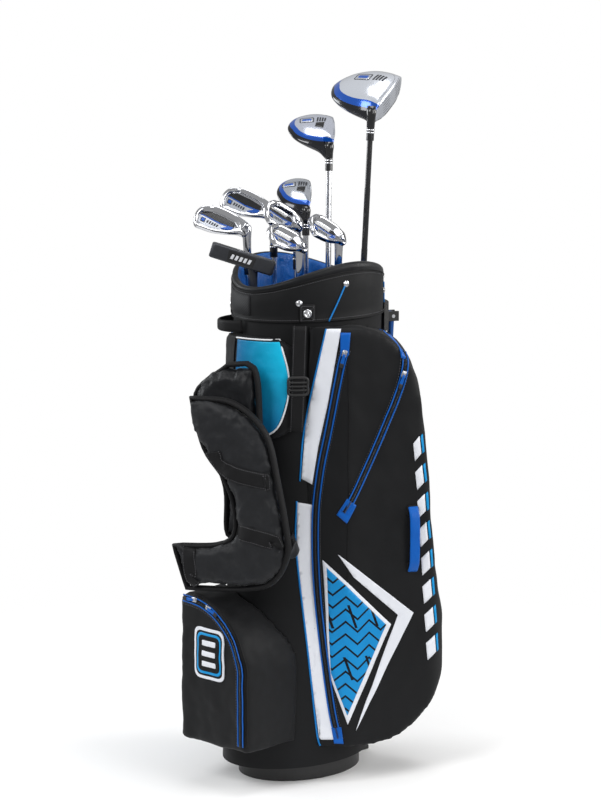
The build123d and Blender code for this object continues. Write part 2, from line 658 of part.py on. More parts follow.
def make_shoulder_pads():
    """Front pad that hangs in a C, and the pad of the second strap behind it."""
    with BuildPart() as front_pad:
        with BuildSketch(strap_plane(0)):
            with BuildLine():
                Spline((15, 672), (93, 667), (150, 620), (172, 540), (186, 470), (190, 420), (165, 372),
                       (113, 354), (5, 346))
                Line((5, 346), (-19, 417))
                Spline((-19, 417), (60, 425), (93, 445), (94, 490), (75, 540), (38, 590), (15, 672))
            make_face()
        extrude(amount=PAD_THICK)
    finish(front_pad.part, "shoulder_pad_front")
    with BuildPart() as rear_pad:
        with BuildSketch(strap_plane(-PAD_THICK - PAD_GAP)):
            with BuildLine():
                Spline((72, 728), (12, 675), (34, 600), (66, 520), (70, 440))
                Line((70, 440), (110, 440))
                Spline((110, 440), (124, 540), (128, 640), (118, 725))
                Line((118, 725), (72, 728))
            make_face()
        extrude(amount=PAD_THICK)
    finish(rear_pad.part, "shoulder_pad_rear")


def around(angle_deg, z, off):
    """Upright plane off the bag's surface: local x round the bag, local y up, z outwards."""
    turn = math.radians(angle_deg)
    wide = half_wide(z) if z < SHELL_TOP else TOP_HALF_WIDE + COLLAR_PROUD
    long = half_long(z) if z < SHELL_TOP else TOP_HALF_LONG + COLLAR_PROUD
    shift = centre_y(min(z, SHELL_TOP))
    outward = Vector(math.cos(turn) / wide, math.sin(turn) / long, 0).normalized()
    point = Vector(wide * math.cos(turn), shift + long * math.sin(turn), z) + outward * off
    return Plane(point, x_dir=Vector(-outward.Y, outward.X, 0), z_dir=outward)


def make_strap_webbing():
    """Adjusting strap from the collar past the hip pad, and the tie from the pad to the bag."""
    top = around(WEB_ANGLE, WEB_TOP, WEB_OFF)
    low = around(WEB_ANGLE, WEB_LOW, WEB_OFF)
    up = (top.origin - low.origin).normalized()
    middle = (top.origin + low.origin) * 0.5
    outward = top.x_dir.cross(up)
    with BuildPart() as strap_webbing:
        with Locations(Plane(middle, x_dir=top.x_dir, z_dir=outward)):
            Box(WEB_WIDE, (top.origin - low.origin).length, WEB_THICK)
        tie_start = Vector(*TIE_START)
        tie_end = Vector(*TIE_END)
        along = (tie_end - tie_start).normalized()
        with Locations(Plane((tie_start + tie_end) * 0.5, x_dir=along, z_dir=along.cross(Vector(0, 0, 1)))):
            Box((tie_end - tie_start).length, TIE_WIDE, WEB_THICK)
    finish(strap_webbing.part, "strap_webbing")


def make_strap_buckle():
    """Ladder buckle that the adjusting strap is threaded through."""
    seat = around(WEB_ANGLE, BUCKLE_Z, WEB_OFF + WEB_THICK / 2)
    with BuildPart() as strap_buckle:
        with BuildSketch(seat.offset(SLIDER_GAP)):
            RectangleRounded(WEB_WIDE + 10, BUCKLE_HIGH, 4)
            for offset in (-BUCKLE_HIGH / 4, BUCKLE_HIGH / 4):
                with Locations((0, offset)):
                    Rectangle(WEB_WIDE, BUCKLE_HIGH / 5, mode=Mode.SUBTRACT)
        extrude(amount=BUCKLE_THICK)
    finish(strap_buckle.part, "strap_buckle")


def handle_loop(name, angles, z, high, thick, stand_off):
    """Webbing loop that bows out from the collar between two angles."""
    ends = [around(angle, z, 0) for angle in angles]
    middle = around(sum(angles) / 2, z, stand_off)
    outline = [ends[0].origin, ends[0].origin * 0.5 + middle.origin * 0.5 + ends[0].z_dir * stand_off * 0.45,
               middle.origin,
               ends[1].origin * 0.5 + middle.origin * 0.5 + ends[1].z_dir * stand_off * 0.45, ends[1].origin]
    body = body_form(0, SHELL_TOP, 0)
    with BuildPart() as loop:
        with BuildSketch(Plane.XY.offset(z - high / 2)):
            with BuildLine() as path:
                Spline([(point.X, point.Y) for point in outline])
            trace(path.line, thick)
        extrude(amount=high)
        add(body, mode=Mode.SUBTRACT)
    finish(loop.part, name)


def make_handles():
    handle_loop("carry_handle", CARRY_ANGLES, CARRY_Z, CARRY_HIGH, CARRY_THICK, CARRY_STAND_OFF)
    corner = pocket_faces(RIGHT_POCKET_REACH)[1]
    grab_at = corner.from_local_coords(Vector(GRAB_AT[0], GRAB_AT[1], 0))
    grab = Plane(grab_at, x_dir=corner.x_dir, z_dir=corner.z_dir)
    with BuildPart() as lift_handle:
        with BuildSketch(grab.offset(GRAB_STAND_OFF)):
            RectangleRounded(GRAB_WIDE, GRAB_LONG, GRAB_WIDE / 3)
        extrude(amount=CARRY_THICK)
        for offset in (-1, 1):
            with BuildSketch(grab):
                with Locations((0, offset * (GRAB_LONG / 2 - GRAB_WIDE / 2))):
                    Rectangle(GRAB_WIDE * 0.8, GRAB_WIDE * 0.7)
            extrude(amount=GRAB_STAND_OFF)
    finish(lift_handle.part, "lift_handle")


def make_collar_rivets():
    """Rivets round the collar and the studs that the straps clip to."""
    with BuildPart() as collar_rivets:
        for angle, z in RIVETS:
            for turn in (angle, 180 - angle):
                with BuildSketch(around(turn, z, 0)):
                    Circle(RIVET_RADIUS)
                extrude(amount=RIVET_HIGH)
        for turn in (STUD_ANGLE, 180 - STUD_ANGLE):
            with BuildSketch(around(turn, STUD_Z, 0)):
                RectangleRounded(STUD_PLATE, STUD_PLATE, 2)
            extrude(amount=STUD_PLATE_THICK)
            with BuildSketch(around(turn, STUD_Z, STUD_PLATE_THICK)):
                Circle(STUD_RADIUS)
            extrude(amount=RIVET_HIGH)
    finish(collar_rivets.part, "collar_rivets")


# ---------------------------------------------------------------- clubs

def club_plane(heading_deg, butt, mouth):
    """Plane on the butt's end: z runs up the shaft, x towards the toe, y towards the back of the head."""
    start = Vector(butt[0], butt[1], CUP_FLOOR_TOP + BUTT_GAP)
    up = (Vector(mouth[0], mouth[1], MOUTH_Z) - start).normalized()
    toe = Vector(math.cos(math.radians(heading_deg)), math.sin(math.radians(heading_deg)), 0)
    back = up.cross(toe).normalized()
    # the butt is square to the shaft, so its low edge stands on the floor
    rise = GRIP_BUTT_RADIUS * math.sqrt(max(0.0, 1 - up.Z ** 2))
    return Plane(start + Vector(0, 0, rise), x_dir=back.cross(up), z_dir=up)


def head_plane(club, length, lie_deg):
    """Plane of the sole: x towards the toe, y towards the back, z out of the sole."""
    lie = math.radians(lie_deg)
    ground = club.origin + club.z_dir * length
    toe = club.z_dir * math.cos(lie) + club.x_dir * math.sin(lie)
    return Plane(ground, x_dir=toe, z_dir=toe.cross(club.y_dir))


def make_shaft(name, club, top, ferrule_inside):
    """Stepped tube from inside the grip to inside the hosel, with an iron's ferrule round its tip."""
    step = (top - GRIP_LONG) / SHAFT_STEPS
    taper = (SHAFT_BUTT_RADIUS - SHAFT_TIP_RADIUS) / SHAFT_STEPS
    rings = [(GRIP_CAP, GRIP_LONG - GRIP_CAP, SHAFT_BUTT_RADIUS)]
    rings += [(GRIP_LONG + k * step, step, SHAFT_BUTT_RADIUS - (k + 1) * taper) for k in range(SHAFT_STEPS)]
    with BuildPart() as shaft:
        for start, long, radius in rings:
            with BuildSketch(club.offset(start)):
                Circle(radius)
                Circle(radius - SHAFT_WALL, mode=Mode.SUBTRACT)
            extrude(amount=long)
        if ferrule_inside:
            with BuildSketch(club.offset(top - FERRULE_LONG)):
                Circle(FERRULE_RADIUS)
                Circle(SHAFT_TIP_RADIUS - SHAFT_WALL, mode=Mode.SUBTRACT)
            extrude(amount=FERRULE_LONG)
    finish(shaft.part, f"{name}_shaft")


def make_grip(name, club):
    with BuildPart() as grip:
        with BuildSketch(club):
            Circle(GRIP_BUTT_RADIUS)
        with BuildSketch(club.offset(GRIP_LONG)):
            Circle(GRIP_TIP_RADIUS)
        loft()
        with BuildSketch(club.offset(GRIP_CAP)):
            Circle(SHAFT_BUTT_RADIUS)
        extrude(amount=GRIP_LONG, mode=Mode.SUBTRACT)
    finish(grip.part, f"{name}_grip")


def make_ferrule(name, club, top):
    with BuildPart() as ferrule:
        with BuildSketch(club.offset(top - FERRULE_LONG)):
            Circle(FERRULE_RADIUS)
            Circle(SHAFT_TIP_RADIUS, mode=Mode.SUBTRACT)
        extrude(amount=FERRULE_LONG)
    finish(ferrule.part, f"{name}_ferrule")


def make_wood_head(name, club, head, length):
    toe_wide, deep, high, hosel = WOOD_SIZES[name]
    with BuildPart() as wood:
        for level, spread in ((0, 0.72), (-0.16, 0.9), (-0.42, 1.0), (-0.72, 0.86), (-0.92, 0.58), (-1, 0.3)):
            with BuildSketch(head.offset(level * high)):
                with Locations((toe_wide / 2 - WOOD_HEEL, WOOD_MIDDLE * deep - FACE_SET)):
                    with BuildLine():
                        Spline([(spread * across * toe_wide, spread * back * deep)
                                for across, back in WOOD_OUTLINE], periodic=True)
                    make_face()
        loft()
        with BuildSketch(head.offset(-high - 5)):
            with Locations((toe_wide / 2, -FACE_SET - 30)):
                Rectangle(3 * toe_wide, 60 + FACE_SET)
        extrude(amount=high + 10, mode=Mode.SUBTRACT)
        # room for the ferrule and shaft below the neck, then the neck itself
        with BuildSketch(club.offset(length - hosel - 60)):
            Circle(HOSEL_RADIUS + 1)
        extrude(amount=60, mode=Mode.SUBTRACT)
        with BuildSketch(club.offset(length - hosel)):
            Circle(HOSEL_RADIUS)
        with BuildSketch(club.offset(length - NECK_ROOT * high)):
            Circle(NECK_ROOT_RADIUS)
        loft()
        with BuildSketch(club.offset(length - hosel)):
            Circle(SHAFT_TIP_RADIUS)
        extrude(amount=hosel / 2, mode=Mode.SUBTRACT)
    finish(wood.part, f"{name}_head")


def make_iron_head(name, club, head, length, loft_deg):
    """Cavity-back blade with a perimeter rim, leaning back by its loft."""
    tilt = math.radians(loft_deg)
    back = head.y_dir * math.cos(tilt) + head.z_dir * math.sin(tilt)
    face = Plane(head.origin - back * IRON_FACE_THICK, x_dir=head.x_dir, z_dir=back)
    long = IRON_BLADE_LONG
    with BuildPart() as iron:
        with BuildSketch(face):
            with BuildLine():
                Spline((-3, 1), (0.45 * long, -3), (0.85 * long, 4), tangents=((1, -0.1), (1, 0.35)))
                ThreePointArc((0.85 * long, 4), (long, 24), (0.9 * long, 47))
                Spline((0.9 * long, 47), (0.55 * long, 44), (4, 27), (-9, 25),
                       tangents=((-1, 0.25), (-1, 0.1)))
                Line((-9, 25), (-3, 1))
            make_face()
        extrude(amount=IRON_RIM_THICK)
        with BuildSketch(face.offset(IRON_FACE_THICK)):
            with BuildLine():
                Spline((14, 10), (0.45 * long, 5), (0.8 * long, 11), tangents=((1, -0.25), (1, 0.35)))
                ThreePointArc((0.8 * long, 11), (long - IRON_RIM_WIDE, 25), (0.86 * long, 41))
                Spline((0.86 * long, 41), (0.55 * long, 38), (14, 24), tangents=((-1, 0.1), (-1, -0.4)))
                Line((14, 24), (14, 10))
            make_face()
        extrude(amount=IRON_RIM_THICK, mode=Mode.SUBTRACT)
        with BuildSketch(club.offset(length - IRON_HOSEL)):
            Circle(HOSEL_RADIUS)
        extrude(amount=IRON_HOSEL - 8)
        with BuildSketch(club.offset(length - IRON_HOSEL)):
            Circle(SHAFT_TIP_RADIUS)
        extrude(amount=IRON_HOSEL / 2, mode=Mode.SUBTRACT)
    finish(iron.part, f"{name}_head")


def make_putter_head(name, club, head, length):
    with BuildPart() as putter:
        with BuildSketch(head.offset(-PUTTER_HIGH)):
            with Locations((PUTTER_LONG / 2 - PUTTER_HEEL, PUTTER_DEEP / 2 - 6)):
                RectangleRounded(PUTTER_LONG, PUTTER_DEEP, 6)
        extrude(amount=PUTTER_HIGH)
        with BuildSketch(club.offset(length - PUTTER_NECK)):
            Circle(PUTTER_NECK_RADIUS)
        extrude(amount=PUTTER_NECK - PUTTER_HIGH / 2)
        with BuildSketch(club.offset(length - PUTTER_NECK)):
            Circle(SHAFT_TIP_RADIUS)
        extrude(amount=PUTTER_NECK / 2, mode=Mode.SUBTRACT)
    finish(putter.part, f"{name}_head")


def make_club(name, kind, length, lie_deg, loft_deg, heading_deg, butt, mouth):
    club = club_plane(heading_deg, butt, mouth)
    head = head_plane(club, length, lie_deg)
    make_grip(name, club)
    if kind == "wood":
        top = length - WOOD_SIZES[name][3]
        make_wood_head(name, club, head, length)
        make_ferrule(name, club, top)
        make_shaft(name, club, top, False)
    elif kind == "iron":
        make_iron_head(name, club, head, length, loft_deg)
        make_shaft(name, club, length - IRON_HOSEL, True)
    else:
        make_putter_head(name, club, head, length)
        make_shaft(name, club, length - PUTTER_NECK, False)


make_base_cup()
make_base_flap()
make_flap_pin()
make_bag_shell()
make_top_collar()
make_top_divider()
make_stay_rods()
make_leg_bracket()
make_leg_pins()
make_leg(1, "leg_right")
make_leg(-1, "leg_left")
make_actuator_rods()
make_rod_guides()
side_pocket(1, RIGHT_POCKET_REACH, "side_pocket_right")
side_pocket(-1, LEFT_POCKET_REACH, "side_pocket_left")
make_ball_pocket()
make_zip_sliders()
make_hip_pad()
make_shoulder_pads()
make_strap_webbing()
make_strap_buckle()
make_handles()
make_collar_rivets()
for club_name, club_sizes in CLUBS.items():
    make_club(club_name, *club_sizes)
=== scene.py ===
import math

import bmesh
import bpy
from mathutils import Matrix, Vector, noise
from mathutils.bvhtree import BVHTree
from mathutils.kdtree import KDTree


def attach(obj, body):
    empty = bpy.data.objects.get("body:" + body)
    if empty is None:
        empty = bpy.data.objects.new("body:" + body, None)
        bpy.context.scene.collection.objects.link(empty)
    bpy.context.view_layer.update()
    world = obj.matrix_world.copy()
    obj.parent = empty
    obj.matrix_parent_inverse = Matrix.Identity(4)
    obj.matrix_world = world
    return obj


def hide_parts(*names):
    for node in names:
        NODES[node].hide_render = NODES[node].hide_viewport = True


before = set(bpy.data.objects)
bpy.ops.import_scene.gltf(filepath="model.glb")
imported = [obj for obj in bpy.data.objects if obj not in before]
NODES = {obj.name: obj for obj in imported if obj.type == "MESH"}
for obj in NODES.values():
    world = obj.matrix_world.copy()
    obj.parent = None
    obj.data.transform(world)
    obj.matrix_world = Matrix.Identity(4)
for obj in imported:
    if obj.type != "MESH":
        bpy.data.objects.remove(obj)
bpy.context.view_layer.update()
MM = 0.001

# ------------------------------------------------------------------ sizes, in millimetres, as in the frame
HEM_Z, SHELL_TOP = 30.0, 796.0
TOP_SHIFT = 30.0
COLLAR_WIDE, COLLAR_LONG, COLLAR_WALL = 116.0, 143.0, 12.0
RIM_HIGH, RIM_RADIUS = 97.0, 275.0
POCKET_FRONT, POCKET_CORNER = (88.0, -66.0), (141.0, -17.0)
POCKET_BACK_Y = 120.0
BALL_FRONT = -208.0
CAMERA_DIR = Vector((0.70711, -0.70711, 0))
RIGHT_DIR = Vector((0.70711, 0.70711, 0))
UP = Vector((0, 0, 1))
RIM_FOOT = SHELL_TOP + 0.01  # the collar starts here, just above the shell
RIGHT_REACH, LEFT_REACH = 206.0, 176.0  # how far the side pockets stand out at the back
ZIP_HALF_WIDE = 5.2
DIVIDER_Z = 822.0
BUTT_Z, MOUTH_Z = 24.4, 820.0  # heights that each club's shaft line passes through
STRAP_TURN = -46  # where the adjuster strap hangs, in degrees round the bag


# ------------------------------------------------------------------ materials
def new_group(name, inputs, outputs):
    group = bpy.data.node_groups.new(name, "ShaderNodeTree")
    for label, kind, value in inputs:
        socket = group.interface.new_socket(label, in_out="INPUT", socket_type=kind)
        if value is not None:
            socket.default_value = value
    for label, kind in outputs:
        group.interface.new_socket(label, in_out="OUTPUT", socket_type=kind)
    return group, group.nodes.new("NodeGroupInput"), group.nodes.new("NodeGroupOutput")


def maths(tree, operation, a, b=None, clamp=False):
    node = tree.nodes.new("ShaderNodeMath")
    node.operation = operation
    node.use_clamp = clamp
    for socket, value in zip(node.inputs, (a, b)):
        if value is None:
            continue
        if isinstance(value, (int, float)):
            socket.default_value = value
        else:
            tree.links.new(value, socket)
    return node.outputs[0]


def mix_colour(tree, factor, a, b):
    node = tree.nodes.new("ShaderNodeMix")
    node.data_type = "RGBA"
    for socket, value in ((node.inputs[0], factor), (node.inputs[6], a), (node.inputs[7], b)):
        if isinstance(value, (int, float)):
            socket.default_value = value
        elif isinstance(value, (tuple, list)):
            socket.default_value = (*value[:3], 1)
        else:
            tree.links.new(value, socket)
    return node.outputs[2]


def fabric_group():
    """Woven cloth: threads both ways, soft creases, and a mottled shade."""
    group, given, out = new_group(
        "woven_cloth",
        [("Thread", "NodeSocketFloat", 700.0), ("Crease", "NodeSocketFloat", 0.4),
         ("Crease scale", "NodeSocketFloat", 9.0), ("Colour", "NodeSocketColor", (0.02, 0.02, 0.02, 1)),
         ("Light", "NodeSocketColor", (0.04, 0.04, 0.04, 1))],
        [("Colour", "NodeSocketColor"), ("Height", "NodeSocketFloat"), ("Roughness", "NodeSocketFloat")])
    where = group.nodes.new("ShaderNodeTexCoord").outputs["Object"]
    split = group.nodes.new("ShaderNodeSeparateXYZ")
    group.links.new(where, split.inputs[0])
    across = maths(group, "ADD", split.outputs[0], split.outputs[1])
    threads = []
    for axis in (across, split.outputs[2]):
        angle = maths(group, "MULTIPLY", axis, given.outputs["Thread"])
        angle = maths(group, "MULTIPLY", angle, 6.2832)
        threads.append(maths(group, "SINE", angle))
    weave = maths(group, "MULTIPLY", threads[0], threads[1])
    crease = group.nodes.new("ShaderNodeTexNoise")
    crease.inputs["Detail"].default_value = 3.0
    crease.inputs["Distortion"].default_value = 0.8
    group.links.new(where, crease.inputs["Vector"])
    group.links.new(given.outputs["Crease scale"], crease.inputs["Scale"])
    soft = maths(group, "MULTIPLY", crease.outputs["Fac"], given.outputs["Crease"])
    height = maths(group, "ADD", soft, maths(group, "MULTIPLY", weave, 0.02))
    group.links.new(height, out.inputs["Height"])
    mottle = group.nodes.new("ShaderNodeTexNoise")
    mottle.inputs["Scale"].default_value = 55.0
    mottle.inputs["Detail"].default_value = 5.0
    group.links.new(where, mottle.inputs["Vector"])
    tone = maths(group, "ADD", maths(group, "MULTIPLY", mottle.outputs["Fac"], 0.6),
                 maths(group, "MULTIPLY", weave, 0.35), clamp=True)
    group.links.new(mix_colour(group, tone, given.outputs["Colour"], given.outputs["Light"]), out.inputs["Colour"])
    group.links.new(maths(group, "ADD", maths(group, "MULTIPLY", mottle.outputs["Fac"], 0.2), 0.5),
                    out.inputs["Roughness"])
    return group


def wear_group():
    """Fine scuffs and dust that break up a hard surface."""
    group, given, out = new_group(
        "scuffs",
        [("Scale", "NodeSocketFloat", 60.0), ("Low", "NodeSocketFloat", 0.2), ("High", "NodeSocketFloat", 0.4),
                   ("Colour", "NodeSocketColor", (0.5, 0.5, 0.5, 1)), ("Dust", "NodeSocketFloat", 0.1)],
        [("Colour", "NodeSocketColor"), ("Roughness", "NodeSocketFloat"), ("Height", "NodeSocketFloat")])
    where = group.nodes.new("ShaderNodeTexCoord").outputs["Object"]
    cloud = group.nodes.new("ShaderNodeTexNoise")
    cloud.inputs["Detail"].default_value = 6.0
    group.links.new(where, cloud.inputs["Vector"])
    group.links.new(given.outputs["Scale"], cloud.inputs["Scale"])
    spread = maths(group, "SUBTRACT", given.outputs["High"], given.outputs["Low"])
    rough = maths(group, "ADD", maths(group, "MULTIPLY", cloud.outputs["Fac"], spread), given.outputs["Low"])
    group.links.new(rough, out.inputs["Roughness"])
    group.links.new(cloud.outputs["Fac"], out.inputs["Height"])
    shade = maths(group, "MULTIPLY", cloud.outputs["Fac"], given.outputs["Dust"])
    group.links.new(mix_colour(group, shade, given.outputs["Colour"], (0.3, 0.3, 0.3)), out.inputs["Colour"])
    return group


FABRIC = fabric_group()
WEAR = wear_group()


def blank_material(name, **fixed):
    material = bpy.data.materials.new(name)
    material.use_nodes = True
    shader = material.node_tree.nodes["Principled BSDF"]
    for key, value in fixed.items():
        shader.inputs[key.replace("_", " ")].default_value = value
    return material, material.node_tree, shader


def add_bump(tree, shader, height, strength, distance):
    bump = tree.nodes.new("ShaderNodeBump")
    bump.inputs["Strength"].default_value = strength
    bump.inputs["Distance"].default_value = distance
    tree.links.new(height, bump.inputs["Height"])
    tree.links.new(bump.outputs[0], shader.inputs["Normal"])


def cloth_material(name, colour, light, thread=700.0, crease=0.4, crease_scale=9.0, bump=0.5, sheen=0.03,
                   rough=None, colour_from=None, specular=0.2):
    material, tree, shader = blank_material(name, Sheen_Weight=sheen, Sheen_Roughness=0.4,
                                            Specular_IOR_Level=specular)
    cloth = tree.nodes.new("ShaderNodeGroup")
    cloth.node_tree = FABRIC
    cloth.inputs["Thread"].default_value = thread
    cloth.inputs["Crease"].default_value = crease
    cloth.inputs["Crease scale"].default_value = crease_scale
    cloth.inputs["Colour"].default_value = (*colour, 1)
    cloth.inputs["Light"].default_value = (*light, 1)
    colour_out = cloth.outputs["Colour"]
    if colour_from:
        colour_out = colour_from(tree, colour_out)
    tree.links.new(colour_out, shader.inputs["Base Color"])
    if rough is None:
        tree.links.new(cloth.outputs["Roughness"], shader.inputs["Roughness"])
    else:
        shader.inputs["Roughness"].default_value = rough
    add_bump(tree, shader, cloth.outputs["Height"], bump, 0.004)
    return material


def hard_material(name, colour, metallic=0.0, low=0.2, high=0.4, scale=60.0, dust=0.05, coat=0.0, bump=0.0,
                  colour_from=None):
    material, tree, shader = blank_material(name, Metallic=metallic, Coat_Weight=coat, Coat_Roughness=0.06)
    wear = tree.nodes.new("ShaderNodeGroup")
    wear.node_tree = WEAR
    for key, value in (("Scale", scale), ("Low", low), ("High", high), ("Colour", (*colour, 1)), ("Dust", dust)):
        wear.inputs[key].default_value = value
    colour_out = wear.outputs["Colour"]
    if colour_from:
        colour_out = colour_from(tree, colour_out)
    tree.links.new(colour_out, shader.inputs["Base Color"])
    tree.links.new(wear.outputs["Roughness"], shader.inputs["Roughness"])
    if bump:
        add_bump(tree, shader, wear.outputs["Height"], bump, 0.001)
    return material


def object_axis(tree, direction):
    """Distance along a direction, in metres, from the Object coordinates."""
    where = tree.nodes.new("ShaderNodeTexCoord").outputs["Object"]
    dot = tree.nodes.new("ShaderNodeVectorMath")
    dot.operation = "DOT_PRODUCT"
    dot.inputs[1].default_value = direction
    tree.links.new(where, dot.inputs[0])
    return dot.outputs["Value"]


def ramp_between(tree, value, low, high):
    span = tree.nodes.new("ShaderNodeMapRange")
    span.inputs["From Min"].default_value = low
    span.inputs["From Max"].default_value = high
    tree.links.new(value, span.inputs["Value"])
    return span.outputs[0]


def hip_painted_light(tree, colour):
    # painted light: bright azure as a painted highlight towards the panel's top and right edges, darker navy blue
    # as painted shade elsewhere
    side = ramp_between(tree, object_axis(tree, (0.707, 0.707, 0)), -0.105, -0.02)
    low = ramp_between(tree, object_axis(tree, (0, 0, 1)), 0.60, 0.74)
    highlight_mask = maths(tree, "MULTIPLY", side, low, clamp=True)
    return mix_colour(tree, highlight_mask, mix_colour(tree, 0.75, colour, (0.005, 0.09, 0.26)), (0.005, 0.52, 0.80))


def maze_lines(tree, colour):
    """Angled black lines in rows, printed over the blue panel."""
    along = object_axis(tree, (0.429, 0.903, 0))
    up = object_axis(tree, (0, 0, 1))
    zig = maths(tree, "PINGPONG", along, 0.021)
    slant = maths(tree, "ADD", up, maths(tree, "MULTIPLY", zig, 0.9))
    row = maths(tree, "FRACT", maths(tree, "MULTIPLY", slant, 46.0))
    line = maths(tree, "LESS_THAN", row, 0.2)
    column = maths(tree, "FRACT",
                   maths(tree, "MULTIPLY", maths(tree, "ADD", along, maths(tree, "MULTIPLY", up, 0.35)), 26.0))
    gate = maths(tree, "LESS_THAN", maths(tree, "FRACT", maths(tree, "MULTIPLY", up, 11.0)), 0.45)
    bar = maths(tree, "MULTIPLY", maths(tree, "LESS_THAN", column, 0.12), gate)
    return mix_colour(tree, maths(tree, "MAXIMUM", line, bar), colour, (0.003, 0.004, 0.007))


BLACK_CLOTH = cloth_material("black_nylon", (0.0035, 0.0037, 0.0043), (0.009, 0.0095, 0.011), thread=650,
                             crease=0.5, bump=0.35)
BODY_CLOTH = cloth_material("black_canvas", (0.003, 0.0032, 0.0037), (0.008, 0.0085, 0.010), thread=450, crease=0.3,
                            bump=0.35)
PAD_CLOTH = cloth_material("charcoal_satin", (0.010, 0.0105, 0.012), (0.026, 0.0275, 0.031), thread=600, crease=1.0,
                           crease_scale=16.0, bump=0.6, sheen=0.12, rough=0.42)
# darker copy of the pad satin: the collar's top band, and on the rear shoulder pad partly its darker lining, partly
# painted shade for its shadowed inner face
DARK_SATIN_AND_SHADE = cloth_material("black_satin_and_painted_shade", (0.005, 0.0055, 0.0065), (0.014, 0.015, 0.018), thread=600, crease=0.8,
                          crease_scale=20.0, bump=0.5, sheen=0.1, rough=0.4)
WEBBING = cloth_material("black_webbing", (0.003, 0.003, 0.0035), (0.013, 0.013, 0.0145), thread=320, crease=0.05,
                         bump=0.8)
BINDING = cloth_material("black_binding", (0.0025, 0.0025, 0.003), (0.008, 0.008, 0.009), thread=520, crease=0.1,
                         bump=0.6)
MESH_CLOTH = cloth_material("spacer_mesh", (0.004, 0.004, 0.005), (0.05, 0.052, 0.056), thread=220, crease=0.1,
                            bump=1.0)
LINING = cloth_material("blue_lining", (0.001, 0.07, 0.34), (0.002, 0.22, 0.72), thread=800, crease=1.6,
                        crease_scale=26.0, bump=0.9, sheen=0.04, rough=0.34, specular=0.4)
# the blue panel's colour carries a painted highlight at its top right and painted shade elsewhere
HIP_CLOTH = cloth_material("blue_panel", (0.003, 0.10, 0.30), (0.004, 0.20, 0.46), thread=800, crease=0.3, bump=0.3,
                           rough=0.35, colour_from=hip_painted_light)
BLUE_TAPE = cloth_material("blue_tape", (0.002, 0.085, 0.40), (0.004, 0.15, 0.60), thread=420, crease=0.1, bump=0.6,
                           rough=0.4)
BLUE_PIPING = cloth_material("blue_piping", (0.004, 0.16, 0.50), (0.01, 0.26, 0.66), thread=420, crease=0.1,
                             bump=0.5, rough=0.4)
WHITE_PRINT = cloth_material("white_print", (0.72, 0.74, 0.80), (0.86, 0.88, 0.92), thread=700, crease=0.3,
                             bump=0.25, rough=0.4)
WHITE_PIPING = cloth_material("white_piping", (0.75, 0.77, 0.80), (0.9, 0.9, 0.92), thread=420, crease=0.1,
                              bump=0.5)
CYAN_PRINT = cloth_material("cyan_print", (0.005, 0.26, 0.62), (0.01, 0.36, 0.74), thread=700, crease=0.2,
                            bump=0.25, rough=0.4)
MAZE_PRINT = cloth_material("maze_print", (0.004, 0.22, 0.55), (0.008, 0.32, 0.70), thread=700, crease=0.3,
                            bump=0.25, rough=0.42, colour_from=maze_lines)
GREY_THREAD = cloth_material("grey_thread", (0.12, 0.12, 0.13), (0.26, 0.26, 0.28), thread=900, crease=0.1,
                             bump=0.4)
FOAM_RUBBER = hard_material("black_rubber", (0.006, 0.006, 0.0065), low=0.55, high=0.8, scale=180, bump=0.5)
MOULDED = hard_material("moulded_black", (0.005, 0.005, 0.0055), low=0.35, high=0.6, scale=140, bump=0.35)
GLOSS_BLACK = hard_material("gloss_black", (0.0025, 0.003, 0.0045), low=0.08, high=0.2, coat=0.5)
CROWN_NAVY = hard_material("crown_navy", (0.002, 0.003, 0.008), low=0.1, high=0.2, coat=0.6, dust=0.01)
CHROME = hard_material("polished_chrome", (0.72, 0.73, 0.76), metallic=1.0, low=0.06, high=0.16, scale=35,
                       dust=0.02)
SATIN_STEEL = hard_material("satin_steel", (0.50, 0.51, 0.54), metallic=1.0, low=0.25, high=0.42, scale=90,
                            dust=0.05)
SHAFT_STEEL = hard_material("shaft_steel", (0.66, 0.67, 0.70), metallic=1.0, low=0.08, high=0.2, scale=60,
                            dust=0.02)
DARK_STEEL = hard_material("dark_steel", (0.16, 0.165, 0.175), metallic=1.0, low=0.3, high=0.5, scale=120)
GUNMETAL = hard_material("gunmetal", (0.055, 0.058, 0.066), metallic=0.75, low=0.32, high=0.5, scale=160, bump=0.2)
LEG_BLUE = hard_material("leg_blue", (0.004, 0.10, 0.42), metallic=0.55, low=0.15, high=0.3, coat=0.6)
BADGE_BLUE = hard_material("badge_blue", (0.002, 0.085, 0.44), metallic=0.3, low=0.15, high=0.3, coat=0.8)
BADGE_WHITE = hard_material("badge_white", (0.78, 0.80, 0.84), low=0.2, high=0.35, coat=0.4)
SILVER_PAINT = hard_material("silver_paint", (0.56, 0.59, 0.65), metallic=0.55, low=0.16, high=0.28, coat=0.8,
                             dust=0.02)


def sole_bands(black_from, blue_from):
    """Silver sole with a blue crescent and a black heel side, read from the head's own edge map."""
    def paint(tree, colour):
        edge = tree.nodes.new("ShaderNodeUVMap")
        edge.uv_map = "plan"
        split = tree.nodes.new("ShaderNodeSeparateXYZ")
        tree.links.new(edge.outputs[0], split.inputs[0])
        black = maths(tree, "GREATER_THAN", split.outputs[0], black_from)
        blue = maths(tree, "GREATER_THAN", split.outputs[0], blue_from)
        base = mix_colour(tree, blue, colour, (0.002, 0.085, 0.48))
        return mix_colour(tree, black, base, (0.003, 0.004, 0.008))
    return paint


DRIVER_SOLE = hard_material("driver_sole", (0.62, 0.65, 0.71), metallic=0.45, low=0.14, high=0.24, coat=0.9,
                            dust=0.02, colour_from=sole_bands(0.93, 0.74))
FAIRWAY_SOLE = hard_material("fairway_sole", (0.54, 0.57, 0.66), metallic=0.45, low=0.12, high=0.24, coat=0.9,
                             dust=0.02, colour_from=sole_bands(0.88, 0.70))
HYBRID_SOLE = hard_material("hybrid_sole", (0.42, 0.45, 0.50), metallic=0.5, low=0.12, high=0.24, coat=0.9,
                            dust=0.02, colour_from=sole_bands(0.84, 0.64))


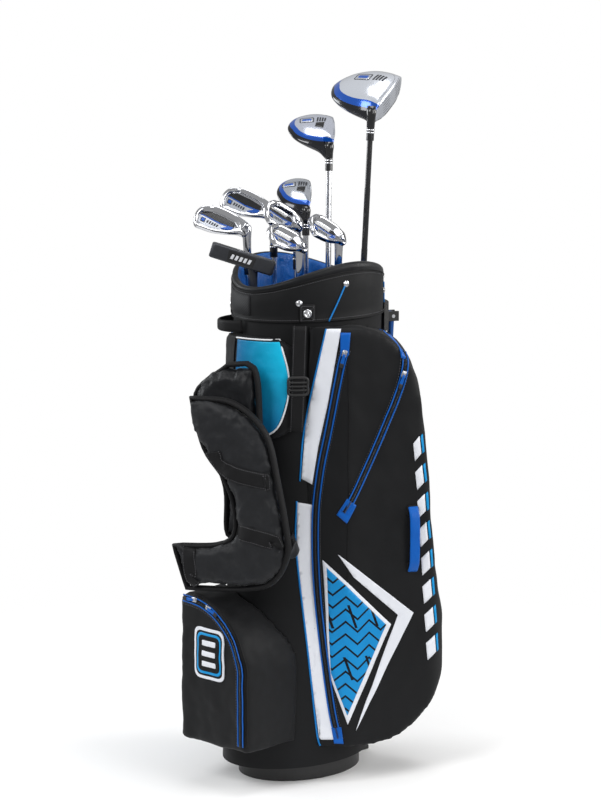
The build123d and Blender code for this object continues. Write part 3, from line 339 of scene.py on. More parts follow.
# ------------------------------------------------------------------ mesh helpers
def finish_mesh(name, points, faces, materials, face_material=None, smooth=True, recalc=True):
    """A mesh from points in millimetres, linked at the origin."""
    mesh = bpy.data.meshes.new(name)
    mesh.from_pydata([tuple(c * MM for c in p) for p in points], [], [tuple(f) for f in faces])
    for material in materials if isinstance(materials, (list, tuple)) else [materials]:
        mesh.materials.append(material)
    if face_material is not None:
        mesh.polygons.foreach_set("material_index", face_material)
    mesh.polygons.foreach_set("use_smooth", [smooth] * len(mesh.polygons))
    if recalc:
        tidy_normals(mesh)
    piece = bpy.data.objects.new(name, mesh)
    bpy.context.scene.collection.objects.link(piece)
    return piece


def tidy_normals(mesh):
    bm = bmesh.new()
    bm.from_mesh(mesh)
    bmesh.ops.recalc_face_normals(bm, faces=bm.faces)
    bm.to_mesh(mesh)
    bm.free()


def place(piece, body, slot, *nodes):
    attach(piece, body)
    if nodes:
        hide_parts(*nodes)
    return piece


def loft(name, rings, materials, closed=False, ring_material=None, **more):
    """Skin over rings of points; the ends are closed with a fan when they are open."""
    count = len(rings[0])
    points = [p for ring in rings for p in ring]
    faces, marks = [], []
    spans = len(rings) if closed else len(rings) - 1
    for i in range(spans):
        j = (i + 1) % len(rings)
        for k in range(count):
            m = (k + 1) % count
            faces.append((i * count + k, i * count + m, j * count + m, j * count + k))
            marks.append(ring_material(i, k) if ring_material else 0)
    if not closed:
        for i in (0, len(rings) - 1):
            centre = sum((Vector(p) for p in rings[i]), Vector()) / count
            points.append(centre)
            hub = len(points) - 1
            for k in range(count):
                faces.append((i * count + k, i * count + (k + 1) % count, hub))
                marks.append(ring_material(i if i == 0 else i - 1, k) if ring_material else 0)
    return finish_mesh(name, points, faces, materials, marks, **more)


def smooth_path(points, closed=False, step=6.0):
    """Even points along a smooth curve through the given ones."""
    pts = [Vector(p) for p in points]
    n = len(pts)
    out = []
    spans = n if closed else n - 1
    for i in range(spans):
        if closed:
            p0, p1, p2, p3 = pts[i - 1], pts[i], pts[(i + 1) % n], pts[(i + 2) % n]
        else:
            p1, p2 = pts[i], pts[i + 1]
            p0 = pts[i - 1] if i else p1 * 2 - p2
            p3 = pts[i + 2] if i + 2 < n else p2 * 2 - p1
        k = max(1, int((p2 - p1).length / step))
        for j in range(k):
            t = j / k
            out.append(0.5 * (2 * p1 + (p2 - p0) * t + (2 * p0 - 5 * p1 + 4 * p2 - p3) * t * t
                              + (3 * p1 - p0 - 3 * p2 + p3) * t ** 3))
    if not closed:
        out.append(pts[-1])
    return out


def sweep(name, path, ups, profile, material, closed=False):
    """Carries a profile of (side, up) pairs along a path; ups gives the outward direction at each point."""
    rings = []
    n = len(path)
    for i, point in enumerate(path):
        ahead = path[(i + 1) % n] if closed or i + 1 < n else path[i]
        behind = path[i - 1] if closed or i else path[i]
        run = (ahead - behind).normalized()
        up = Vector(ups[i] if isinstance(ups, list) else ups)
        up = (up - run * up.dot(run)).normalized()
        side = run.cross(up)
        shape = profile(i / max(1, n - 1)) if callable(profile) else profile
        rings.append([point + side * a + up * b for a, b in shape])
    return loft(name, rings, material, closed=closed)


def circle(radius, count=10, flat=1.0):
    return [(radius * math.cos(2 * math.pi * k / count), radius * flat * math.sin(2 * math.pi * k / count))
            for k in range(count)]


def strap(wide, thick, lift=0.0):
    """Rounded flat section of a strap or tape."""
    w, t = wide / 2, thick
    e = min(t / 2, w / 2)
    return [(-w + e, lift), (0, lift), (w - e, lift), (w, lift + t / 2), (w - e, lift + t),
            (w / 2, lift + t * 1.06), (0, lift + t * 1.1), (-w / 2, lift + t * 1.06), (-w + e, lift + t),
            (-w, lift + t / 2)]


class Place:
    """A flat frame: origin, x, y, and z outwards, all in millimetres."""

    def __init__(self, origin, x, y, z):
        self.o, self.x, self.y, self.z = Vector(origin), Vector(x), Vector(y), Vector(z)

    def at(self, a, b, c=0.0):
        return self.o + self.x * a + self.y * b + self.z * c


def shell_share(z):
    return (z - HEM_Z) / (SHELL_TOP - HEM_Z)


def bag_place(angle, z, off=0.0):
    """Point on the bag's surface and its outward direction."""
    turn = math.radians(angle)
    if z < SHELL_TOP:
        wide, long, shift = 107 + 6 * shell_share(z), 145 - 5 * shell_share(z), TOP_SHIFT * shell_share(z)
    else:
        wide, long, shift = COLLAR_WIDE, COLLAR_LONG, TOP_SHIFT
    out = Vector((math.cos(turn) / wide, math.sin(turn) / long, 0)).normalized()
    return Vector((wide * math.cos(turn), shift + long * math.sin(turn), z)) + out * off, out


def rim_z(angle):
    across = COLLAR_LONG * math.sin(math.radians(angle))
    return SHELL_TOP + RIM_HIGH - RIM_RADIUS + math.sqrt(RIM_RADIUS ** 2 - across ** 2)


def surface_of(*pieces):
    """Ray target made of several pieces."""
    verts, faces = [], []
    for piece in pieces:
        base = len(verts)
        verts += [v.co / MM for v in piece.data.vertices]
        faces += [tuple(base + i for i in p.vertices) for p in piece.data.polygons]
    return BVHTree.FromPolygons(verts, faces)


def land(target, start, direction, reach=400.0):
    hit, normal, _, _ = target.ray_cast(start, direction, reach)
    if hit is None:
        hit, normal, _, _ = target.find_nearest(start)
    if normal.dot(direction) > 0:
        normal = -normal
    return hit, normal


def drape_path(target, plane, points, lift=0.0, step=6.0, back=150.0):
    """Smooth path drawn in a plane and dropped on the surface behind it."""
    path, ups = [], []
    for p in smooth_path([(a, b, 0) for a, b in points], step=step):
        hit, normal = land(target, plane.at(p.x, p.y, back), -plane.z)
        soft = (normal + plane.z).normalized()
        path.append(hit + soft * lift)
        ups.append(soft)
    for _ in range(3):
        last = len(path)
        path = [path[i] if i in (0, last - 1) else (path[i - 1] + path[i] * 2 + path[i + 1]) / 4
                for i in range(last)]
    return path, ups


def drape_panel(name, target, plane, outline, material, thick=0.7, lift=1.0, cell=6.0, back=150.0):
    """Thin printed or sewn panel: an outline in a plane, cut fine and dropped on the surface behind it."""
    bm = bmesh.new()
    ring = [bm.verts.new((a, b, 0)) for a, b in outline]
    bm.faces.new(ring)
    bmesh.ops.triangulate(bm, faces=bm.faces[:])
    for _ in range(6):
        long = [e for e in bm.edges if e.calc_length() > cell]
        if not long:
            break
        bmesh.ops.subdivide_edges(bm, edges=long, cuts=1)
        bmesh.ops.triangulate(bm, faces=bm.faces[:])
    bm.verts.ensure_lookup_table()
    bm.verts.index_update()
    flat = [v.co.copy() for v in bm.verts]
    tris = [tuple(v.index for v in f.verts) for f in bm.faces]
    rim = [tuple(v.index for v in e.verts) for e in bm.edges if e.is_boundary]
    bm.free()
    low, top = [], []
    for p in flat:
        hit, _ = land(target, plane.at(p.x, p.y, back), -plane.z)
        low.append(hit - plane.z * 0.5)
        top.append(hit + plane.z * (lift + thick))
    n = len(flat)
    faces = tris + [tuple(n + i for i in reversed(t)) for t in tris] + [(a, b, n + b, n + a) for a, b in rim]
    return finish_mesh(name, top + low, faces, material)


def soft_copy(name, node, material, voxel=6.0, smooth=6, wrinkle=1.0, scale=0.02, seed=0.0, inset=0.0,
              stretch=(1, 1, 1)):
    """A CAD solid's shape remade as fine cloth, rounded and lightly creased."""
    bm = bmesh.new()
    bm.from_mesh(NODES[node].data)
    bmesh.ops.remove_doubles(bm, verts=bm.verts, dist=1e-5)
    mesh = bpy.data.meshes.new(name)
    bm.to_mesh(mesh)
    bm.free()
    mesh.materials.clear()
    mesh.materials.append(material)
    piece = bpy.data.objects.new(name, mesh)
    bpy.context.scene.collection.objects.link(piece)
    remesh = piece.modifiers.new("remesh", "REMESH")
    remesh.mode = "VOXEL"
    remesh.voxel_size = voxel * MM
    soft = piece.modifiers.new("soft", "SMOOTH")
    soft.factor, soft.iterations = 0.5, smooth
    apply_modifiers(piece)
    shift = Vector((seed, seed * 1.7, -seed))
    for v in piece.data.vertices:
        p = Vector(v.co[i] / MM * scale * stretch[i] for i in range(3)) + shift
        v.co += v.normal * ((noise.fractal(p, 0.7, 2.0, 3) * wrinkle - inset) * MM)
    piece.data.polygons.foreach_set("use_smooth", [True] * len(piece.data.polygons))
    return piece


def apply_modifiers(piece):
    bpy.context.view_layer.update()
    ready = piece.evaluated_get(bpy.context.evaluated_depsgraph_get())
    mesh = bpy.data.meshes.new_from_object(ready)
    piece.modifiers.clear()
    old = piece.data
    piece.data = mesh
    bpy.data.meshes.remove(old)


def puff(piece, pressure, cap, frames=20):
    """Cloth under pressure, for a stuffed look; no point moves further than cap."""
    scene = bpy.context.scene
    start = [v.co.copy() for v in piece.data.vertices]
    cloth = piece.modifiers.new("cloth", "CLOTH")
    settings = cloth.settings
    settings.use_pressure = True
    settings.uniform_pressure_force = pressure
    settings.effector_weights.gravity = 0.0
    settings.quality = 4
    settings.mass = 0.3
    settings.tension_stiffness = settings.compression_stiffness = 12.0
    settings.bending_stiffness = 0.6
    cloth.point_cache.frame_start, cloth.point_cache.frame_end = 1, frames
    for number in range(1, frames + 1):
        scene.frame_set(number)
    apply_modifiers(piece)
    scene.frame_set(1)
    for v, before in zip(piece.data.vertices, start):
        move = v.co - before
        if move.length > cap * MM:
            v.co = before + move.normalized() * cap * MM


# ------------------------------------------------------------------ repeated small things, by geometry nodes
def row_tree():
    """Small rounded items set out evenly along a path: stitches, zip teeth, ribs."""
    tree = bpy.data.node_groups.new("row_of_items", "GeometryNodeTree")
    face = tree.interface
    face.new_socket("Geometry", in_out="INPUT", socket_type="NodeSocketGeometry")
    for label, value in (("Spacing", 0.004), ("Long", 0.002), ("Wide", 0.0005), ("High", 0.0005)):
        face.new_socket(label, in_out="INPUT", socket_type="NodeSocketFloat").default_value = value
    face.new_socket("Material", in_out="INPUT", socket_type="NodeSocketMaterial")
    face.new_socket("Geometry", in_out="OUTPUT", socket_type="NodeSocketGeometry")
    nodes, links = tree.nodes, tree.links
    given, out = nodes.new("NodeGroupInput"), nodes.new("NodeGroupOutput")
    curve = nodes.new("GeometryNodeMeshToCurve")
    even = nodes.new("GeometryNodeResampleCurve")
    even.mode = "LENGTH"
    links.new(given.outputs["Geometry"], curve.inputs["Mesh"])
    links.new(curve.outputs[0], even.inputs["Curve"])
    links.new(given.outputs["Spacing"], even.inputs["Length"])
    tangent = nodes.new("GeometryNodeInputTangent")
    up = nodes.new("GeometryNodeInputNamedAttribute")
    up.data_type = "FLOAT_VECTOR"
    up.inputs["Name"].default_value = "up"
    along = nodes.new("FunctionNodeAlignRotationToVector")
    along.axis = "X"
    links.new(tangent.outputs[0], along.inputs["Vector"])
    stand = nodes.new("FunctionNodeAlignRotationToVector")
    stand.axis, stand.pivot_axis = "Z", "X"
    links.new(along.outputs[0], stand.inputs["Rotation"])
    links.new(up.outputs[0], stand.inputs["Vector"])
    bead = nodes.new("GeometryNodeMeshUVSphere")
    bead.inputs["Segments"].default_value = 8
    bead.inputs["Rings"].default_value = 5
    bead.inputs["Radius"].default_value = 0.5
    size = nodes.new("ShaderNodeCombineXYZ")
    for index, label in enumerate(("Long", "Wide", "High")):
        links.new(given.outputs[label], size.inputs[index])
    shaped = nodes.new("GeometryNodeTransform")
    links.new(bead.outputs["Mesh"], shaped.inputs["Geometry"])
    links.new(size.outputs[0], shaped.inputs["Scale"])
    items = nodes.new("GeometryNodeInstanceOnPoints")
    links.new(even.outputs[0], items.inputs["Points"])
    links.new(shaped.outputs[0], items.inputs["Instance"])
    links.new(stand.outputs[0], items.inputs["Rotation"])
    real = nodes.new("GeometryNodeRealizeInstances")
    links.new(items.outputs[0], real.inputs[0])
    coat = nodes.new("GeometryNodeSetMaterial")
    links.new(real.outputs[0], coat.inputs["Geometry"])
    links.new(given.outputs["Material"], coat.inputs["Material"])
    links.new(coat.outputs[0], out.inputs["Geometry"])
    return tree


ROW = row_tree()


def set_input(modifier, tree, label, value):
    for item in tree.interface.items_tree:
        if item.in_out == "INPUT" and item.name == label:
            modifier[item.identifier] = value


def row(name, paths, spacing, long, wide, high, material):
    """Plain mesh of items along one or more (path, ups) pairs, sizes in millimetres."""
    mesh = bpy.data.meshes.new(name)
    points, edges, ups = [], [], []
    for path, up in paths:
        base = len(points)
        points += [tuple(p * MM) for p in path]
        ups += [tuple(u) for u in (up if isinstance(up, list) else [up] * len(path))]
        edges += [(base + i, base + i + 1) for i in range(len(path) - 1)]
    mesh.from_pydata(points, edges, [])
    attribute = mesh.attributes.new("up", "FLOAT_VECTOR", "POINT")
    attribute.data.foreach_set("vector", [c for u in ups for c in u])
    piece = bpy.data.objects.new(name, mesh)
    bpy.context.scene.collection.objects.link(piece)
    modifier = piece.modifiers.new("row", "NODES")
    modifier.node_group = ROW
    for label, value in (("Spacing", spacing * MM), ("Long", long * MM), ("Wide", wide * MM), ("High", high * MM),
                         ("Material", material)):
        set_input(modifier, ROW, label, value)
    apply_modifiers(piece)
    piece.data.materials.clear()
    piece.data.materials.append(material)
    piece.data.polygons.foreach_set("use_smooth", [True] * len(piece.data.polygons))
    return piece


# ------------------------------------------------------------------ camera, light and floor
def make_stage():
    camera = bpy.data.cameras.new("camera")
    camera.lens = 119.5
    camera.sensor_width = 36.0
    camera.clip_end = 50.0
    holder = bpy.data.objects.new("camera", camera)
    holder.location = (3.182, -3.182, 1.390)
    aim = Vector((0.0057, 0.0057, 0.648)) - holder.location
    holder.rotation_euler = aim.to_track_quat("-Z", "Y").to_euler()
    bpy.context.scene.collection.objects.link(holder)
    bpy.context.scene.camera = holder
    for name, where, size, power, tint in (
            ("key", (0.2, -3.4, 3.0), 1.6, 80.0, (1, 1, 1)), ("fill", (3.6, 0.2, 1.9), 1.8, 48.0, (1, 1, 1)),
            ("top", (0.4, 0.2, 3.6), 1.6, 42.0, (1, 1, 1)),
            ("rim_left", (-2.6, -1.2, 1.6), 1.2, 42.0, (0.95, 0.98, 1)),
            ("rim_right", (1.8, 2.4, 1.6), 1.2, 45.0, (1, 0.99, 0.97))):
        lamp = bpy.data.lights.new(name, "AREA")
        lamp.shape = "RECTANGLE"
        lamp.size, lamp.size_y = size, size * 1.3
        lamp.energy, lamp.color = power, tint
        light = bpy.data.objects.new(name, lamp)
        light.location = where
        light.rotation_euler = (Vector((0, 0, 0.65)) - light.location).to_track_quat("-Z", "Y").to_euler()
        bpy.context.scene.collection.objects.link(light)
    world = bpy.data.worlds.new("studio")
    world.use_nodes = True
    tree = world.node_tree
    lit = tree.nodes["Background"]
    lit.inputs["Color"].default_value = (1, 1, 1, 1)
    lit.inputs["Strength"].default_value = 0.36
    seen = tree.nodes.new("ShaderNodeBackground")
    mix = tree.nodes.new("ShaderNodeMixShader")
    tree.links.new(tree.nodes.new("ShaderNodeLightPath").outputs["Is Camera Ray"], mix.inputs["Fac"])
    tree.links.new(lit.outputs[0], mix.inputs[1])
    tree.links.new(seen.outputs[0], mix.inputs[2])
    tree.links.new(mix.outputs[0], tree.nodes["World Output"].inputs["Surface"])
    seen.inputs["Color"].default_value = (1, 1, 1, 1)
    bpy.context.scene.world = world
    bpy.context.scene.view_settings.view_transform = "Standard"
    material, tree, shader = blank_material("pale_floor", Roughness=0.9, Specular_IOR_Level=0.1)
    cloud = tree.nodes.new("ShaderNodeTexNoise")
    cloud.inputs["Scale"].default_value = 2.0
    tree.links.new(mix_colour(tree, cloud.outputs["Fac"], (0.93, 0.93, 0.93), (0.96, 0.96, 0.96)),
                   shader.inputs["Base Color"])
    where = tree.nodes.new("ShaderNodeTexCoord").outputs["Object"]
    reach = tree.nodes.new("ShaderNodeVectorMath")
    reach.operation = "LENGTH"
    tree.links.new(where, reach.inputs[0])
    fade = maths(tree, "SUBTRACT", 1.0, ramp_between(tree, reach.outputs["Value"], 0.35, 1.3))
    tree.links.new(fade, shader.inputs["Alpha"])
    floor = finish_mesh("floor", [(-9000, -9000, 0), (9000, -9000, 0), (9000, 9000, 0), (-9000, 9000, 0)],
                        [(0, 1, 2, 3)], material, recalc=False)


make_stage()

# ------------------------------------------------------------------ frames that the trim is laid out in
STRAP_X, STRAP_Z = Vector((0.9333, 0.359, 0)), Vector((0.359, -0.9333, 0))


def pocket_planes(side, reach):
    """The two outer faces of a side pocket: x runs back along the face, y up, z out."""
    points = (POCKET_FRONT, POCKET_CORNER, (reach, POCKET_BACK_Y))
    planes = []
    for (x0, y0), (x1, y1) in zip(points, points[1:]):
        run = Vector((x1 - x0, y1 - y0, 0)).normalized()
        out = Vector((run.y, -run.x, 0))
        flip = Vector((side, 1, 1))
        planes.append(Place((x0 * side, y0, 0), run * flip, UP, out * flip))
    return planes


FRONT_VIEW = Place((0, 0, 0), RIGHT_DIR, UP, CAMERA_DIR)
STRAP = Place((-54, -205, 0), STRAP_X, UP, STRAP_Z)
STRAP_REAR = Place(Vector((-54, -205, 0)) - STRAP_Z * 24, STRAP_X, UP, STRAP_Z)
BALL = Place((0, BALL_FRONT, 0), (1, 0, 0), UP, (0, -1, 0))


# ------------------------------------------------------------------ collar and mouth
def make_collar():
    turns = [360 * k / 120 for k in range(120)]
    section = ((0.0, 0.0), (-1.2, 0.03), (-0.6, 0.2), (0.3, 0.5), (0.0, 0.8), (-1.6, 0.86), (0.2, 0.9),
               (-0.6, 0.965), (-3.4, 1.0), (-7.0, 1.004), (-10.4, 0.985), (-12.6, 0.93), (-12.4, 0.86),
               (-12.0, 0.6), (-12.3, 0.3), (-12.0, 0.0))
    rings = []
    for angle in turns:
        base, out = bag_place(angle, RIM_FOOT)
        high = rim_z(angle) - SHELL_TOP
        turn = math.radians(angle)
        ring = []
        for k, (off, part) in enumerate(section):
            lump = 0.0 if k < 2 else noise.noise(Vector((math.cos(turn) * 4, math.sin(turn) * 4, part * 2))) * 1.1
            fold = math.sin(turn * 23 + 3 * math.sin(turn * 5)) * 1.3 if 11 <= k <= 14 else 0
            ring.append(base + out * (off + lump - abs(fold)) + UP * (part * high))
        rings.append(ring)
    collar = loft("collar_rim", rings, [BODY_CLOTH, LINING, DARK_SATIN_AND_SHADE], closed=True,
                  ring_material=lambda i, k: 1 if 10 <= k <= 14 else (2 if 5 <= k < 10 else 0))
    place(collar, "bag", "collar_foam", "top_collar")
    # netting panel between the strap side and the large pocket
    netting = []
    for angle in [-152 + k * 2 for k in range(33)]:
        base, out = bag_place(angle, RIM_FOOT, 0.8)
        high = rim_z(angle) - SHELL_TOP
        netting.append([base + out * a + UP * (high * b) for a, b in
                        ((-1, 0.16), (0.2, 0.17), (0.6, 0.4), (0.4, 0.74), (-1.2, 0.76), (-2.5, 0.7), (-2.5, 0.2))])
    place(loft("collar_netting", netting, MESH_CLOTH), "bag", "collar_foam")
    for name, part, radius in (("collar_seam_low", 0.02, 1.3), ("collar_seam_high", 0.855, 1.0)):
        path = [bag_place(a, RIM_FOOT, 0.2)[0] + UP * (rim_z(a) - SHELL_TOP) * part for a in turns]
        ups = [bag_place(a, RIM_FOOT)[1] for a in turns]
        place(sweep(name, path, ups, circle(radius), BINDING, closed=True), "bag", "collar_foam")
    stitches = []
    for part in (0.06, 0.80):
        around = turns + [360.0]
        stitches.append(([bag_place(a, RIM_FOOT, 0.7)[0] + UP * (rim_z(a) - SHELL_TOP) * part for a in around],
                         [bag_place(a, RIM_FOOT)[1] for a in around]))
    place(row("collar_stitches", stitches, 4.2, 2.8, 0.6, 0.6, GREY_THREAD), "bag", "collar_foam")
    for number, (angle0, angle1) in enumerate(((-10, -24), (45, 52))):
        path, ups = [], []
        for k in range(16):
            t = k / 15
            angle = angle0 + (angle1 - angle0) * t
            base, out = bag_place(angle, RIM_FOOT, 0.6)
            path.append(base + UP * (rim_z(angle) - SHELL_TOP) * (0.66 * (1 - t) + 0.01))
            ups.append(out)
        place(sweep(f"collar_piping_{number}", path, ups, circle(1.3), BLUE_PIPING), "bag", "collar_foam")


def make_divider():
    """Padded bars across the mouth, with a puffed satin skin."""
    wide, long = COLLAR_WIDE - COLLAR_WALL - 0.5, COLLAR_LONG - COLLAR_WALL - 0.5

    def span_x(y):
        return wide * math.sqrt(max(0.0, 1 - ((y - TOP_SHIFT) / long) ** 2))
    bars = ((Vector((0, TOP_SHIFT - long, DIVIDER_Z)), Vector((0, TOP_SHIFT + long, DIVIDER_Z))),
            (Vector((-span_x(68.5), 68.5, DIVIDER_Z)), Vector((span_x(68.5), 68.5, DIVIDER_Z))),
            (Vector((-span_x(-21), -21, DIVIDER_Z)), Vector((0, -21, DIVIDER_Z))))
    for number, (start, end) in enumerate(bars):
        steps = 36
        path = [start.lerp(end, k / steps) for k in range(steps + 1)]

        def bar(t, number=number):
            puffed = 0.6 * math.sin(t * 41 + number) + 0.4 * math.sin(t * 97)
            return [(3.9 * math.cos(a) * (1 + 0.05 * puffed),
                     (19.5 + 0.4 * puffed) * math.copysign(abs(math.sin(a)) ** 0.6, math.sin(a)))
                    for a in (2 * math.pi * k / 20 for k in range(20))]
        piece = sweep(f"divider_bar_{number}", path, UP, bar, LINING)
        place(piece, "bag", "lining_blue", *(("top_divider",) if number == 0 else ()))


# ------------------------------------------------------------------ pockets
def make_side_pocket(side, reach, name):
    pocket = soft_copy(f"{name}_cloth", name, BLACK_CLOTH, voxel=7.0, smooth=5, wrinkle=2.6, scale=0.012,
                       seed=3.0 * side, inset=0.6, stretch=(1, 1, 0.7))
    place(pocket, "bag", "shell_fabric", name)
    face, outer = pocket_planes(side, reach)
    target = surface_of(pocket, NODES["bag_shell"])
    tag = "right" if side > 0 else "left"
    stretch = (reach - 141) / 65.0

    def panel(label, plane, outline, material, **more):
        place(drape_panel(f"{label}_{tag}", target, plane, outline, material, **more), "bag", "shell_fabric")

    def cord(label, plane, points, radius, material, lift=0.6):
        path, ups = drape_path(target, plane, points, lift)
        place(sweep(f"{label}_{tag}", path, ups, circle(radius), material), "bag", "shell_fabric")

    # white stripe in two parts, with blue piping down its front edge
    panel("stripe_high", face, [(36, 786), (60, 786), (38, 659), (22, 585), (12, 522), (-6, 532), (1.5, 630)],
          WHITE_PRINT, cell=8)
    panel("stripe_low", face,
          [(-13, 492), (15, 486), (15, 412), (34, 240), (56.5, 77), (24, 77), (5, 240), (-14, 412)], WHITE_PRINT,
          cell=8)
    cord("stripe_piping_high", face, [(35, 786), (0.5, 630), (-9, 528)], 1.5, BLUE_PIPING)
    cord("stripe_piping_low", face, [(-14, 494), (-15, 412), (4, 240), (21, 80), (26, 66)], 1.6, BLUE_PIPING)
    # long zip down the front face
    long_zip = [(66.6, 748), (59, 718), (38.5, 610), (25, 540), (17, 452), (22, 322), (43, 147), (56.5, 80)]
    make_zip(f"long_{tag}", target, face, long_zip)
    panel("zip_patch_top", face, [(59, 780), (76, 780), (73, 742), (59, 740)], BLUE_TAPE, thick=1.6, lift=1.0)
    panel("zip_patch_low", face, [(45, 98), (62, 99), (66, 70), (50, 70)], BLUE_TAPE, thick=1.6, lift=1.0)
    slant = [(104, 742), (101, 708), (85, 661), (40, 561), (7, 498), (-6, 474)]
    make_zip(f"diagonal_{tag}", target, outer, [(a * stretch, b) for a, b in slant])
    panel("zip_cap_top", outer, [(a * stretch, b) for a, b in ((92, 770), (112, 764), (110, 728), (95, 733))],
          BLUE_TAPE, thick=1.6, lift=1.0)
    panel("zip_cap_low", outer, [(a * stretch, b) for a, b in ((-18, 470), (-2, 498), (14, 486), (-2, 455))],
          BLUE_TAPE, thick=1.6, lift=1.0)
    for offset in (-8.5, 8.5):
        for plane, line, scale in ((face, long_zip, 1.0), (outer, slant, stretch)):
            path, ups = drape_path(target, plane, [(a * scale + offset, b) for a, b in line], 0.5)
            label = f"zip_stitch_{tag}_{'a' if plane is face else 'b'}_{'in' if offset < 0 else 'out'}"
            place(row(label, [(path, ups)], 4.6, 3.0, 0.7, 0.6, GREY_THREAD), "bag", "shell_fabric")
    # printed panels low on the outer face
    panel("panel_border", outer, [(-37, 388), (78, 275), (0, 106), (-30, 160)] if side < 0 else
          [(-40, 392), (79, 274), (1, 104), (-28, 190)], WHITE_PRINT, cell=9)
    panel("panel_maze", outer, [(-34, 379), (70, 274), (0, 120), (-26, 194)], MAZE_PRINT, thick=1.1, cell=9)
    panel("chevron", outer, [(-16, 402), (120, 291), (16, 92), (26, 120), (92, 289), (10, 362)], WHITE_PRINT,
          cell=8)
    # slanted bars up the back of the outer face, each with a blue edge behind it
    for number in range(8):
        low = 205 + number * 50
        left = 118 + (172 - 118) * (600 - low) / 400 * 0.55
        wide = 17 - 0.8 * number
        bar = [(left, low), (left + wide, low + 12), (left + wide - 3, low + 42), (left - 3, low + 30)]
        panel(f"bar_{number}", outer, [(a * stretch, b) for a, b in bar], WHITE_PRINT, cell=9)
        edge = [(left + wide + 2.5, low + 12), (left + wide + 6.5, low + 15), (left + wide + 3.5, low + 45),
                (left + wide - 0.5, low + 42)]
        panel(f"bar_edge_{number}", outer, [(a * stretch, b) for a, b in edge], CYAN_PRINT, cell=9)
    # seam down the corner of the pocket
    cord("seam_corner", outer, [(0, 760), (1, 600), (0, 400), (0, 200), (4, 100)], 1.0, BINDING, lift=0.1)


def make_zip(name, target, plane, line):
    """Blue tapes either side of a dark coil of teeth."""
    path, ups = drape_path(target, plane, line, 1.6, step=5.0)
    place(sweep(f"zip_bed_{name}", path, ups, strap(2 * ZIP_HALF_WIDE + 2, 0.8), BINDING), "bag", "zip_blue")
    for label, offset in (("a", -ZIP_HALF_WIDE), ("b", ZIP_HALF_WIDE)):
        rail, rail_ups = shift_path(path, ups, offset)
        place(sweep(f"zip_tape_{label}_{name}", rail, rail_ups, strap(2.6, 1.2, 0.6), BLUE_TAPE), "bag", "zip_blue")
    lifted = [p + u * 1.5 for p, u in zip(path, ups)]
    place(row(f"zip_teeth_{name}", [(lifted, ups)], 1.9, 1.3, 4.2, 1.5, GLOSS_BLACK), "bag", "zip_blue")


def shift_path(path, ups, offset):
    """The same path moved sideways on its surface."""
    out = []
    for i, p in enumerate(path):
        run = (path[min(i + 1, len(path) - 1)] - path[max(i - 1, 0)]).normalized()
        out.append(p + run.cross(Vector(ups[i])).normalized() * offset)
    return out, ups


def arch_line(inset):
    """The ball pocket's zip line: over its arch and down the strap-side corner."""
    centre, radius = (-44.0, 203.0), 133.0 - inset
    line = [(-62.0, 203 + radius)]
    line += [(centre[0] + radius * math.cos(math.radians(a)), centre[1] + radius * math.sin(math.radians(a)))
             for a in range(90, -1, -10)]
    return line + [(centre[0] + radius, 150.0), (centre[0] + radius, 92.0)]


def make_ball_pocket():
    pocket = soft_copy("ball_pocket_cloth", "ball_pocket", BLACK_CLOTH, voxel=5.0, smooth=6, wrinkle=2.2,
                       scale=0.02, seed=9.0, inset=0.3)
    place(pocket, "bag", "shell_fabric", "ball_pocket")
    target = surface_of(pocket, NODES["bag_shell"])
    make_zip("ball", target, BALL, arch_line(11.0))
    path, ups = drape_path(target, BALL, arch_line(2.5), 0.2)
    place(sweep("ball_piping", path, ups, circle(1.6), BINDING), "bag", "shell_fabric")
    for inset in (19.5, 22.0):
        path, ups = drape_path(target, BALL, arch_line(inset), 0.4)
        place(row(f"ball_stitches_{int(inset)}", [(path, ups)], 4.6, 3.0, 0.7, 0.6, GREY_THREAD), "bag",
              "shell_fabric")
    middle = Vector((2, 238))
    badge = plain_plate(*middle, 36, 44, 12)
    for label, scale, material, thick in (("badge_edge", 1.0, WHITE_PRINT, 0.7), ("badge_gap", 0.88, BINDING, 1.0),
                                          ("badge_field", 0.80, CYAN_PRINT, 1.2),
                                          ("badge_core", 0.70, BINDING, 1.5)):
        outline = [tuple(middle + (Vector(p) - middle) * scale) for p in badge]
        place(drape_panel(label, target, BALL, outline, material, thick=thick, cell=6), "bag", "shell_fabric")
    for number, high in enumerate((220, 238, 256)):
        outline = plain_plate(2, high, 16, 4.5, 1.5)
        place(drape_panel(f"badge_bar_{number}", target, BALL, outline, WHITE_PRINT, thick=2.0, cell=6), "bag",
              "shell_fabric")


def make_hip_pad():
    pad = soft_copy("hip_pad_cloth", "hip_pad", BLACK_CLOTH, voxel=4.5, smooth=6, wrinkle=1.2, scale=0.03, seed=4.0,
                    inset=0.2)
    place(pad, "bag", "hip_blue", "hip_pad")
    target = surface_of(pad, NODES["bag_shell"])
    outline = [(-98, 764), (-27, 765), (-13, 711), (-14.5, 673), (-23, 640), (-32, 621), (-44, 611), (-58, 609),
               (-66, 625), (-72, 648), (-84, 660), (-96, 672), (-101, 715)]
    place(drape_panel("hip_panel", target, FRONT_VIEW, outline, HIP_CLOTH, thick=1.0, lift=0.4, cell=5), "bag",
          "hip_blue")
    for label, line, radius, material in (
            ("hip_piping_top", [(-99, 767), (-27, 768)], 1.4, WHITE_PIPING),
            ("hip_piping_right",
             [(-27, 768), (-12, 713), (-12.5, 673), (-21, 640), (-30, 620), (-43, 608), (-60, 606)], 1.5,
             WHITE_PIPING),
            ("hip_piping_left", [(-101, 766), (-104, 715), (-98, 668), (-84, 657), (-74, 646)], 1.2, BINDING)):
        path, ups = drape_path(target, FRONT_VIEW, line, 1.2)
        place(sweep(label, path, ups, circle(radius), material), "bag", "hip_blue")


def closed_outline(*runs):
    points = []
    for run in runs:
        points += [(p.x, p.y) for p in smooth_path([(a, b, 0) for a, b in run], step=12)][:-1]
    return points


